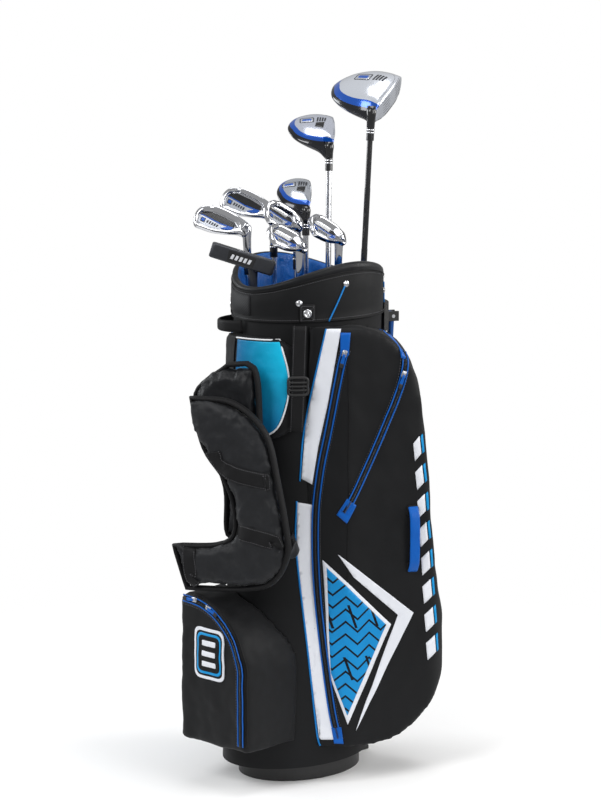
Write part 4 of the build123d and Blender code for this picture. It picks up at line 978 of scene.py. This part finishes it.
PAD_OUTER = [(15, 672), (93, 667), (150, 620), (172, 540), (186, 470), (190, 420), (165, 372), (113, 354), (5, 346)]
PAD_END = [(5, 346), (-19, 417)]
PAD_INNER = [(-19, 417), (60, 425), (93, 445), (94, 490), (75, 540), (38, 590), (15, 672)]
REAR_OUTLINE = [(72, 728), (12, 675), (34, 600), (66, 520), (70, 440), (110, 440), (124, 540), (128, 640),
                (118, 725)]


def make_shoulder_pads():
    for name, node, frame_of, outline in (
            ("shoulder_front", "shoulder_pad_front", STRAP, closed_outline(PAD_OUTER, PAD_END, PAD_INNER)),
            ("shoulder_rear", "shoulder_pad_rear", STRAP_REAR, closed_outline(REAR_OUTLINE + REAR_OUTLINE[:1]))):
        # the rear pad gets the darker satin: partly its darker lining, partly painted shade for its shadowed inner
        # face
        pad = soft_copy(f"{name}_cloth", node, PAD_CLOTH if node.endswith("front") else DARK_SATIN_AND_SHADE, voxel=4.5,
                        smooth=5, wrinkle=2.4, scale=0.035, seed=7.0, inset=1.2)
        puff(pad, 2.5, 6.0)
        place(pad, "bag", "pad_satin", node)
        target = surface_of(pad)
        middle = frame_of.z * 10
        edge = [frame_of.at(a, b) + middle for a, b in outline]
        ups = [frame_of.z] * len(edge)
        place(sweep(f"{name}_binding", edge, ups, [(a * 0.55, b) for a, b in circle(8.5, 12)], BINDING,
                    closed=True), "bag", "pad_satin")
        if node.endswith("front"):
            bands = ((((46, 577), (75, 561), (110, 549), (171, 541)), 28),
                     (((100, 452), (120, 451), (150, 446), (187, 440)), 28),
                     (((22, 346), (15, 385), (12, 417)), 26))
            for number, (line, wide) in enumerate(bands):
                path, lifts = drape_path(target, frame_of, line, 0.3, step=5)
                place(sweep(f"pad_band_{number}", path, lifts, strap(wide, 1.8), WEBBING), "bag", "webbing_black")
                for offset in (-wide / 2 + 2.5, wide / 2 - 2.5):
                    edge_path, edge_ups = shift_path([p + u * 2.2 for p, u in zip(path, lifts)], lifts, offset)
                    place(row(f"pad_band_stitch_{number}_{'a' if offset < 0 else 'b'}", [(edge_path, edge_ups)],
                              4.0, 2.6, 0.6, 0.6, GREY_THREAD), "bag", "webbing_black")


# ------------------------------------------------------------------ webbing, handles, rivets
def make_webbing():
    path = [bag_place(STRAP_TURN, z, 15 + 3 * math.sin((z - 614) / 186 * 3.1416))[0] for z in range(792, 608, -8)]
    ups = [bag_place(STRAP_TURN, 700)[1]] * len(path)
    place(sweep("adjuster_strap", path, ups, strap(23, 1.6), WEBBING), "bag", "webbing_black", "strap_webbing")
    tie = [Vector((117, -130, 425)), Vector((101, -108, 420)), Vector((81, -82, 425))]
    tie = smooth_path(tie, step=6)
    place(sweep("pad_tie", tie, Vector((0.9, -0.43, 0)), strap(34, 2.0), WEBBING), "bag", "webbing_black")
    stitches = []
    for offset in (-9.5, 9.5):
        stitches.append(shift_path([p + ups[0] * 2.0 for p in path], ups, offset))
    place(row("adjuster_stitches", stitches, 3.8, 2.4, 0.6, 0.6, GREY_THREAD), "bag", "webbing_black")
    # ladder buckle
    base, out = bag_place(STRAP_TURN, 692, 19.5)
    frame_of = Place(base, UP.cross(out).normalized(), UP, out)
    outline = ((-15, -13), (0, -14.5), (15, -13), (16, 0), (15, 13), (0, 14.5), (-15, 13), (-16, 0))
    loop = smooth_path([frame_of.at(a, b, 0) for a, b in outline], closed=True, step=3)
    place(sweep("buckle_frame", loop, out, circle(2.4), MOULDED, closed=True), "bag", "moulded_black",
          "strap_buckle")
    for number, height in enumerate((-6.5, 0, 6.5)):
        rung = [frame_of.at(a, height, 0.6 + 1.2 * math.cos(a / 15 * 1.4)) for a in range(-15, 16, 3)]
        place(sweep(f"buckle_rung_{number}", rung, out, circle(1.7, flat=0.8), MOULDED), "bag", "moulded_black")
    for tag, angle in (("right", -40), ("left", 220)):
        base, out = bag_place(angle, 812, 0.4)
        plate = Place(base, UP.cross(out).normalized(), UP, out)
        rings = []
        for off, grow in ((0.0, 1.0), (1.6, 1.0), (2.2, 0.93)):
            rings.append([plate.at(x * grow, y * grow, off) for x, y in smooth_square(13, 15, 3)])
        place(loft(f"anchor_patch_{tag}", rings, WEBBING), "bag", "webbing_black")
        cross = [([plate.at(a, a, 2.4) for a in range(-10, 11, 2)], out),
                 ([plate.at(a, -a, 2.4) for a in range(-10, 11, 2)], out),
                 ([plate.at(a, b, 2.4) for a, b in ((-11, -12), (11, -12), (11, 12), (-11, 12), (-11, -12))], out)]
        place(row(f"anchor_stitches_{tag}", cross, 3.2, 2.2, 0.7, 0.6, GREY_THREAD), "bag", "webbing_black")


def smooth_square(wide, high, corner, count=4):
    """Outline of a rectangle with round corners, from its half sizes."""
    points = []
    for cx, cy, start in ((wide - corner, high - corner, 0), (-wide + corner, high - corner, 90),
                          (-wide + corner, -high + corner, 180), (wide - corner, -high + corner, 270)):
        for k in range(count + 1):
            a = math.radians(start + 90 * k / count)
            points.append((cx + corner * math.cos(a), cy + corner * math.sin(a)))
    return points


def plain_plate(x, y, wide, high, corner):
    """Outline of a rounded plate about a middle point, from its half sizes."""
    return [(x + a, y + b) for a, b in smooth_square(wide, high, corner)]


def make_handles():
    offs = [(0, 2.0), (0.12, 12.0), (0.3, 22.0), (0.5, 25.5), (0.7, 22.0), (0.88, 12.0), (1, 2.0)]
    path = smooth_path([bag_place(-98 - 36 * t, 784.5, off)[0] for t, off in offs], step=4)
    ups = [bag_place(-98 - 36 * k / (len(path) - 1), 784.5)[1] for k in range(len(path))]
    place(sweep("carry_loop", path, ups, lambda t: strap(22 - 3 * math.sin(t * 3.14), 4.2), WEBBING),
          "bag", "webbing_black", "carry_handle")
    outer = pocket_planes(1, RIGHT_REACH)[1]
    grab = [(0, 365), (2, 368), (7.5, 378), (9.5, 395), (10, 420), (9.5, 445), (7.5, 462), (2, 472), (0, 475)]
    points = smooth_path([outer.at(118, z, off + 0.5) for off, z in grab], step=4)
    place(sweep("lift_loop", points, outer.z, strap(18, 3.0), BLUE_TAPE), "bag", "zip_blue", "lift_handle")
    for number, z in enumerate((370, 470)):
        rings = [[outer.at(118 + x * g, z + y * g, off) for x, y in smooth_square(11, 9, 3)] for off,
                 g in ((0, 1), (1.6, 1), (2.2, 0.9))]
        place(loft(f"lift_patch_{number}", rings, BINDING), "bag", "webbing_black")


def make_rivets():
    """Domed rivets and ring studs, replacing the plain ones."""
    pieces = []
    for angle, z in ((-46, 829), (-10, 858), (45, 834)):
        for turn in (angle, 180 - angle):
            pieces.append((turn, z, 5.6, False))
    for turn in (-40, 220):
        pieces.append((turn, 812, 7.4, True))
    for number, (turn, z, radius, ringed) in enumerate(pieces):
        base, out = bag_place(turn, z, 2.6 if ringed else 0.2)
        plane = Place(base, UP.cross(out).normalized(), UP, out)
        profile = ((1.0, 0.0), (1.0, 0.5), (0.9, 1.0), (0.66, 1.15), (0.52, 0.5), (0.34, 0.4), (0.2, 0.9),
                   (0.05, 1.0)) if ringed else \
            ((1.0, 0.0), (1.0, 0.35), (0.86, 0.55), (0.8, 0.5), (0.66, 0.85), (0.4, 1.05), (0.12, 1.12))
        rings = [[plane.at(radius * r * math.cos(a), radius * r * math.sin(a), h * (2.2 if ringed else 2.4))
                  for a in (2 * math.pi * k / 24 for k in range(24))] for r, h in profile]
        place(loft(f"rivet_{number}", rings, CHROME), "bag", "rivet_steel",
              *(("collar_rivets",) if number == 0 else ()))


make_collar()
make_divider()
make_side_pocket(1, RIGHT_REACH, "side_pocket_right")
make_side_pocket(-1, LEFT_REACH, "side_pocket_left")
make_ball_pocket()
make_hip_pad()
make_shoulder_pads()
make_webbing()
make_handles()
make_rivets()


# ------------------------------------------------------------------ zip sliders
def make_slider(body, plane, start, heading, lift, length=24.0):
    """Cast slider with a cord pull that hangs from its bridge."""
    run = Vector((heading[0], heading[1])).normalized()
    x = plane.x * run.x + plane.y * run.y
    seat = Place(plane.at(start[0], start[1], lift), x, plane.z.cross(x), plane.z)
    rings = [[seat.at(a * g, b * g * (1 - 0.012 * a), off) for a, b in smooth_square(6, 4, 2.2)]
             for off, g in ((0, 0.96), (0.6, 1.0), (2.4, 1.0), (3.0, 0.9))]
    place(loft(f"{body}_cast", rings, SATIN_STEEL), body, "zip_blue", body)
    arch = [seat.at(a, 0, 2.6 + 1.5 * math.cos(a / 5 * 1.5)) for a in (-4.6, -3, -1.5, 0, 1.5, 3, 4.6)]
    place(sweep(f"{body}_bridge", arch, seat.z, circle(0.7, 8), SATIN_STEEL), body, "zip_blue")
    pull = [seat.at(a, 0, h) for a, h in ((1, 3.2), (5, 3.6), (9, 2.9), (length * 0.7, 2.2), (length, 2.0))]
    pull = smooth_path(pull, step=1.5)
    place(sweep(f"{body}_pull", pull, seat.z,
                lambda t: [(a * (0.6 + 0.4 * math.sin(min(1, 0.25 + t) * 1.57)) * (1 if t < 0.95 else 0.8), b)
                                                       for a, b in strap(6.2, 1.5)], BLUE_TAPE), body, "zip_blue")
    tip = [seat.at(length - 7 + k * 1.2, 0, 2.6) for k in range(7)]
    place(sweep(f"{body}_tip", tip, seat.z, strap(6.8, 1.7), MOULDED), body, "zip_blue")


def make_sliders():
    face, outer = pocket_planes(1, RIGHT_REACH)
    make_slider("zip_slider_long", face, (66, 745), (-7, -27), 1.6)
    make_slider("zip_slider_diagonal", outer, (99, 705), (-16, -46), 1.6)
    turn = math.radians(68)
    make_slider("zip_slider_ball_right", BALL, (-44 + 124 * math.cos(turn), 203 + 124 * math.sin(turn)),
                (math.sin(turn), -math.cos(turn)), 1.6)
    make_slider("zip_slider_ball_left", BALL, (-32, 327), (-1, -0.05), 1.6)


# ------------------------------------------------------------------ clubs
# kind, length, lie, loft, toe heading, butt, mouth
CLUBS = {
    "driver": ("wood", 1142, 58, 10.5, 105, (46, 62), (73, 87)),
    "wood_3": ("wood", 1070, 57, 15, 135, (-14, 88), (-40, 120)),
    "hybrid": ("wood", 965, 59, 24, 135, (-16, 38), (-18, 42)),
    "iron_6": ("iron", 952, 62, 28, 225, (-46, 10), (-60, 8)),
    "iron_7": ("iron", 940, 62.5, 32, 268, (14, -18), (22, -20)),
    "iron_8": ("iron", 927, 63, 36, 225, (-44, -34), (-61, -52)),
    "iron_9": ("iron", 914, 63.5, 40, 268, (48, 26), (60, 40)),
    "pitching_wedge": ("iron", 908, 64, 44, 268, (46, -34), (62, -53)),
    "putter": ("putter", 880, 71, 3, 225, (-14, -58), (-24, -76)),
}
WOODS = {"driver": (112, 116, 60, 52, DRIVER_SOLE), "wood_3": (94, 86, 38, 40, FAIRWAY_SOLE),
         "hybrid": (88, 64, 35, 40, HYBRID_SOLE)}
WOOD_OUTLINE = ((-0.5, -0.22), (-0.36, -0.46), (0.05, -0.5), (0.42, -0.45), (0.55, -0.2), (0.53, 0.12),
                (0.34, 0.42), (0.04, 0.55), (-0.26, 0.44), (-0.45, 0.14))
FACE_SET, WOOD_HEEL = 14.0, 13.0


def club_places(length, lie, heading, butt, mouth):
    start = Vector((butt[0], butt[1], BUTT_Z))
    up = (Vector((mouth[0], mouth[1], MOUTH_Z)) - start).normalized()
    toe = Vector((math.cos(math.radians(heading)), math.sin(math.radians(heading)), 0))
    back = up.cross(toe).normalized()
    club = Place(start + UP * 13.3 * math.sqrt(1 - up.z ** 2), back.cross(up), back, up)
    lean = math.radians(lie)
    toe = club.z * math.cos(lean) + club.x * math.sin(lean)
    return club, Place(club.at(0, 0, length), toe, back, toe.cross(back))


def tube_on(name, club, sections, material, body, slot, *nodes, flat=1.0, count=24):
    """Turned part on the shaft's axis from (distance, radius) pairs."""
    rings = [[club.at(r * math.cos(a), r * flat * math.sin(a), z)
              for a in (2 * math.pi * k / count for k in range(count))]
             for z, r in sections]
    return place(loft(name, rings, material), body, slot, *nodes)


def flat_panel(name, plane, outline, low, high, material, body, slot):
    """Small raised plate with a bevelled edge."""
    middle = sum((Vector(p) for p in outline), Vector((0, 0))) / len(outline)
    inner = [tuple(middle + (Vector(p) - middle) * 0.97) for p in outline]
    rings = [[plane.at(a, b, low) for a, b in outline], [plane.at(a, b, high - 0.15) for a, b in outline],
             [plane.at(a, b, high) for a, b in inner]]
    return place(loft(name, rings, material, smooth=False), body, slot)


def make_wood(name, length, lie, loft_deg, heading, butt, mouth):
    club, head = club_places(length, lie, heading, butt, mouth)
    wide, deep, high, hosel, sole_paint = WOODS[name]
    outline = [(p.x / 100, p.y / 100)
               for p in smooth_path([(a * 100, b * 100, 0) for a, b in WOOD_OUTLINE], closed=True, step=2.6)]
    sole = [(r, -0.42 * r ** 3.0) for r in (0.06, 0.18, 0.32, 0.46, 0.6, 0.72, 0.82, 0.9, 0.96, 0.99)]
    crown = [(1.0, -0.45), (0.99, -0.5), (0.97, -0.56), (0.94, -0.63), (0.90, -0.69), (0.85, -0.75), (0.79, -0.81),
             (0.72, -0.86), (0.64, -0.90), (0.55, -0.935), (0.45, -0.96), (0.34, -0.98), (0.2, -0.993),
             (0.07, -1.0)]
    lean = math.tan(math.radians(loft_deg))
    rings, flags, edges = [], [], []
    for number, (spread, level) in enumerate(sole + crown):
        ring, flag = [], []
        for across, back in outline:
            a = wide / 2 - WOOD_HEEL + spread * across * wide
            b = 0.45 * deep - FACE_SET + spread * back * deep
            rolled = (-FACE_SET + (-level * high) * lean + (a - wide / 2 + WOOD_HEEL) ** 2 / 520
                      + (level + 0.5) ** 2 * 5)
            flag.append(b < rolled)
            b = max(b, rolled)
            rear = min(1.0, max(0.0, (b + FACE_SET) / deep))
            heel = (a + WOOD_HEEL) / wide
            point = head.at(a, b, level * high * (1.0 - 0.36 * rear ** 1.3))
            if number >= len(sole):
                out = (point - club.o) - club.z * (point - club.o).dot(club.z)
                drawn_in = 15 * math.exp(-(out.length / 12) ** 2) + 7 * math.exp(-(out.length / 30) ** 2)
                point = point - club.z * drawn_in
            ring.append(point)
            lit = 0.55 * max(0.0, heel - 0.42) + 0.45 * math.exp(-(rear / 0.16) ** 2) * min(1.0, heel / 0.3)
            edges.append((spread if number < len(sole) else 1.2) * 1.04 - lit)
        rings.append(ring)
        flags.append(flag)
    count = len(outline)

    def part(i, k):
        j, m = min(i + 1, len(rings) - 1), (k + 1) % count
        if flags[i][k] and flags[i][m] and flags[j][k] and flags[j][m]:
            return 2
        return 0 if i < len(sole) - 1 else 1
    shape = loft(f"{name}_clubhead", rings, [sole_paint, CROWN_NAVY, SILVER_PAINT], ring_material=part)
    near = KDTree(len(edges))
    for number, point in enumerate(point for ring in rings for point in ring):
        near.insert(point, number)
    near.balance()
    # the map's first number is how near each point is to the edge of the sole
    layer = shape.data.uv_layers.new(name="plan")
    for loop in shape.data.loops:
        _, number, _ = near.find(shape.data.vertices[loop.vertex_index].co / MM)
        layer.data[loop.index].uv = (edges[number], number / len(edges))
    place(shape, name, "wood_silver", f"{name}_head")
    target = surface_of(shape)
    tube_on(f"{name}_neck", club,
            [(length - hosel, 6.4), (length - hosel + 0.6, 6.9), (length - hosel * 0.8, 7.1),
             (length - hosel * 0.62, 8.0),
                                   (length - hosel * 0.5, 8.6), (length - hosel * 0.3, 7.0)], GLOSS_BLACK, name,
                                   "moulded_black")
    for number, z in enumerate((3.0, 7.5)):
        tube_on(f"{name}_neck_band_{number}", club,
                [(length - hosel - z - 2.2, 6.7), (length - hosel - z - 1.9, 7.05), (length - hosel - z, 7.05),
                                                     (length - hosel - z + 0.3, 6.7)], CHROME, name, "rivet_steel")
    # badge and bars on the sole, upright when the head points up in the bag
    size = wide / 112
    at_a, at_b = wide * 0.52, deep * (0.36 if name == "driver" else 0.42)

    def mark(label, points, material, thick):
        outline_2d = [(at_a + f * size, at_b - e * size) for e, f in points]
        place(drape_panel(f"{name}_{label}", target, head, outline_2d, material, thick=thick, lift=0.05, cell=5,
                          back=60), name, "wood_silver")
    mark("badge", plain_plate(-3, -1, 15, 10, 3), GUNMETAL, 0.3)
    mark("badge_field", plain_plate(-3, -1, 13, 8, 2.5), SILVER_PAINT, 0.45)
    mark("badge_core", plain_plate(-3, -1, 9.5, 4.5, 2), BADGE_BLUE, 0.6)
    for number in range(4):
        e = 19 + number * 5.2
        mark(f"bar_{number}", [(e, 10), (e + 3.2, 10), (e + 1.2, -8 + number), (e - 2, -8 + number)], GUNMETAL,
             0.35)
    if name != "driver":
        mark("heel_patch", [(16, -12), (34, -8), (31, -30), (14, -26)], GLOSS_BLACK, 0.4)
    # score lines either side of the middle of the face
    lines = []
    for number in range(7 if name == "driver" else 5):
        level = -high * (0.2 + number * (0.085 if name == "driver" else 0.11))
        for low, top in ((0.14, 0.34), (0.56, 0.78)):
            points = []
            for k in range(7):
                a = wide * (low + (top - low) * k / 6)
                hit, _ = land(target, head.at(a, -60, level), head.y)
                points.append(hit - head.y * 0.1)
            lines.append((points, -head.y))
    place(row(f"{name}_score_lines", lines, 1.2, 1.7, 0.8, 0.3, GUNMETAL), name, "wood_silver")


IRON_OUTLINE = [(-5, 3), (8, -0.5), (38, -3), (60, -1.5), (73, 4), (82, 12), (86, 24), (84, 38), (77.4, 47),
                (65, 46.5), (47, 44), (25, 36), (8, 28), (-7, 25), (-9, 14)]


def inset_loop(loop, amount):
    """A flat closed outline moved inwards, by an amount given for each point."""
    out = []
    n = len(loop)
    for i, p in enumerate(loop):
        run = (loop[(i + 1) % n] - loop[i - 1]).normalized()
        out.append(p + Vector((-run.y, run.x)) * amount(p))
    return out


def make_iron(name, length, lie, loft_deg, heading, butt, mouth):
    club, head = club_places(length, lie, heading, butt, mouth)
    tilt = math.radians(loft_deg)
    back = head.y * math.cos(tilt) + head.z * math.sin(tilt)
    blade = Place(head.o - back * 4.0, head.x, back.cross(head.x), back)
    loop = [Vector((p.x, p.y)) for p in smooth_path([(a, b, 0) for a, b in IRON_OUTLINE], closed=True, step=3)]

    def high_share(p):
        return min(1.0, max(0.0, (p.y - 4) / 34))

    def heel_share(p):
        return min(1.0, max(0.0, (18 - p.x) / 18))
    rings = []
    for inset, depth, from_back in ((1.6, 0.0, 0), (0.4, 0.35, 0), (0.0, 1.6, 0), (0.0, -1.8, 1), (0.5, -0.6, 1),
                                    (1.6, 0.0, 1), (1.0, -0.1, 2), (1.25, 0.9, 3), (1.5, 0.2, 4)):
        ring = []

        def amount(p):
            return inset if from_back < 2 else inset * (6.6 - 2.2 * high_share(p) + 9 * heel_share(p))
        for p, q in zip(loop, inset_loop(loop, amount)):
            notch = math.exp(-((p.x - 62) / 2.2) ** 2) * (1.0 - high_share(p))
            thick = 14.0 - 5.5 * high_share(p) - 2.5 * heel_share(p) - 2.6 * notch
            z = depth if from_back == 0 else thick + depth if from_back in (1, 2) else 4.4 + depth
            ring.append(blade.at(q.x, q.y, z))
        rings.append(ring)
    shape = loft(f"{name}_clubhead", rings, [CHROME, SATIN_STEEL], ring_material=lambda i, k: 1
                 if i >= 7 or i == 0 else 0)
    place(shape, name, "iron_chrome", f"{name}_head")
    tube_on(f"{name}_neck", club,
            [(length - 66, 6.0), (length - 65.4, 6.5), (length - 40, 6.8), (length - 26, 7.2), (length - 15, 8.2),
             (length - 7, 8.6),
                                   (length - 3, 6.5)], CHROME, name, "iron_chrome", flat=0.95)
    tube_on(f"{name}_collar", club,
            [(length - 88, 6.1), (length - 87, 6.75), (length - 70, 7.0), (length - 68.4, 7.0),
             (length - 67.8, 6.7),
                                     (length - 66.8, 7.05), (length - 66, 6.9)], GLOSS_BLACK, name, "moulded_black")
    tube_on(f"{name}_collar_ring", club,
            [(length - 70.5, 6.9), (length - 70.2, 7.2), (length - 68.6, 7.2), (length - 68.3, 6.9)], CHROME, name,
            "rivet_steel")
    floor = 4.4
    for label, points, low, top, material in (
            ("cavity_dark", [(18, 10), (40, 8), (62, 9), (73, 13), (77, 20), (40, 22.5), (17, 19)], 0, 0.7,
             GLOSS_BLACK),
            ("cavity_blue", [(18, 19.4), (40, 22.6), (77, 20.4), (77.4, 21.8), (40, 24.2), (20, 21.2)], 0, 1.0,
             BADGE_BLUE),
            ("cavity_heel", [(17.5, 18.5), (25, 20.6), (38, 31), (28, 29), (19, 24.5)], 0, 1.1, BADGE_BLUE),
            ("cavity_plate",
             [(26, 21.8), (40, 24), (77.4, 22), (78, 27), (76, 37), (65, 38.5), (48, 36.5), (38, 33)], 0, 0.6,
             SILVER_PAINT),
            ("badge", plain_plate(70, 29.5, 4.2, 4.2, 1.2), 0.5, 1.1, GUNMETAL),
            ("badge_core", plain_plate(70, 29.5, 2.8, 2.8, 0.8), 0.9, 1.35, BADGE_BLUE)):
        flat_panel(f"{name}_{label}", blade, points, floor + low - 0.2, floor + top, material, name, "iron_chrome")
    for number in range(5):
        a = 42 + number * 4.4
        flat_panel(f"{name}_bar_{number}", blade, [(a, 26.5), (a + 2.8, 26.5), (a + 3.6, 32), (a + 0.8, 32)],
                   floor + 0.3, floor + 1.0, GUNMETAL, name, "iron_chrome")
    lines = [([blade.at(a, b, -0.02) for a in (20, 40, 60, 72 if b > 8 else 66)], -blade.z)
             for b in (5, 9.5, 14, 18.5, 23, 27.5, 32)]
    place(row(f"{name}_score_lines", lines, 1.4, 2.0, 0.7, 0.25, DARK_STEEL), name, "iron_chrome")


def make_putter(name, length, lie, loft_deg, heading, butt, mouth):
    club, head = club_places(length, lie, heading, butt, mouth)
    rings = []
    for a, inset in ((-42, 3.0), (-41.2, 1.2), (-39, 0.2), (-36, 0), (-20, 0), (0, 0), (20, 0), (40, 0), (60, 0),
                     (64, 0), (67.5, 0.3), (69.4, 1.3), (70, 3.0)):
        rings.append([head.at(a, 7 + x, -12.5 + y) for x, y in smooth_square(13 - inset, 12.5 - inset, 3.2)])
    place(loft(f"{name}_clubhead", rings, GUNMETAL), name, "putter_grey", f"{name}_head")
    ribs = []
    for number in range(16):
        a = -32 + number * 6
        ribs.append(([head.at(a, b, -24.9) for b in range(-2, 17, 2)], -head.z))
        ribs.append(([head.at(a, -4.2 - k * 0.8, -24.0 + k * 1.1) for k in range(4)],
                     (-head.z - head.y).normalized()))
    place(row(f"{name}_ribs", ribs, 1.5, 2.4, 1.8, 1.2, SATIN_STEEL), name, "putter_grey")
    for side, y, label in ((-1, -6.0, "front"), (1, 20.0, "back")):
        plane = Place(head.at(0, y, 0), head.x, head.z, head.y * side)
        flat_panel(f"{name}_inset_{label}", plane, [(-6, -22), (38, -22), (40, -4), (-8, -4)], -0.4, 0.5,
                   GLOSS_BLACK, name, "putter_grey")
        for number in range(5):
            a = -2 + number * 7.5
            flat_panel(f"{name}_bar_{label}_{number}", plane,
                       [(a, -9), (a + 4.6, -9), (a + 6.4, -17), (a + 1.8, -17)], 0.3, 0.9, BADGE_WHITE, name,
                       "putter_grey")
    tube_on(f"{name}_neck", club,
            [(length - 78, 5.6), (length - 77, 6.3), (length - 60, 6.5), (length - 40, 7.0), (length - 26, 8.6),
             (length - 20, 9.6),
                                   (length - 12, 9.0)], GUNMETAL, name, "putter_grey", flat=0.8)


make_sliders()
for club_name, (kind, *sizes) in CLUBS.items():
    {"wood": make_wood, "iron": make_iron, "putter": make_putter}[kind](club_name, *sizes)

# ------------------------------------------------------------------ finishes of the frame's own parts
FINISH = {"base_cup": MOULDED, "base_flap": MOULDED, "rod_guides": MOULDED, "leg_bracket": MOULDED,
          "bag_shell": BODY_CLOTH, "flap_pin": DARK_STEEL, "leg_pins": SATIN_STEEL, "actuator_rods": DARK_STEEL,
          "stay_rods": DARK_STEEL, "leg_right": LEG_BLUE, "leg_left": LEG_BLUE, "leg_foot_right": FOAM_RUBBER,
          "leg_foot_left": FOAM_RUBBER, "zip_slider_long": CHROME, "zip_slider_diagonal": CHROME,
          "zip_slider_ball_right": CHROME, "zip_slider_ball_left": CHROME}
for node, piece in NODES.items():
    finish = FINISH.get(node)
    if node.endswith("_grip"):
        finish = FOAM_RUBBER
    elif node.endswith("_ferrule"):
        finish = GLOSS_BLACK
    elif node == "driver_shaft":
        finish = GLOSS_BLACK
    elif node.endswith("_shaft"):
        finish = SHAFT_STEEL
    elif node.endswith("_head") and finish is None:
        finish = SATIN_STEEL
    if finish:
        piece.data.materials.clear()
        piece.data.materials.append(finish)
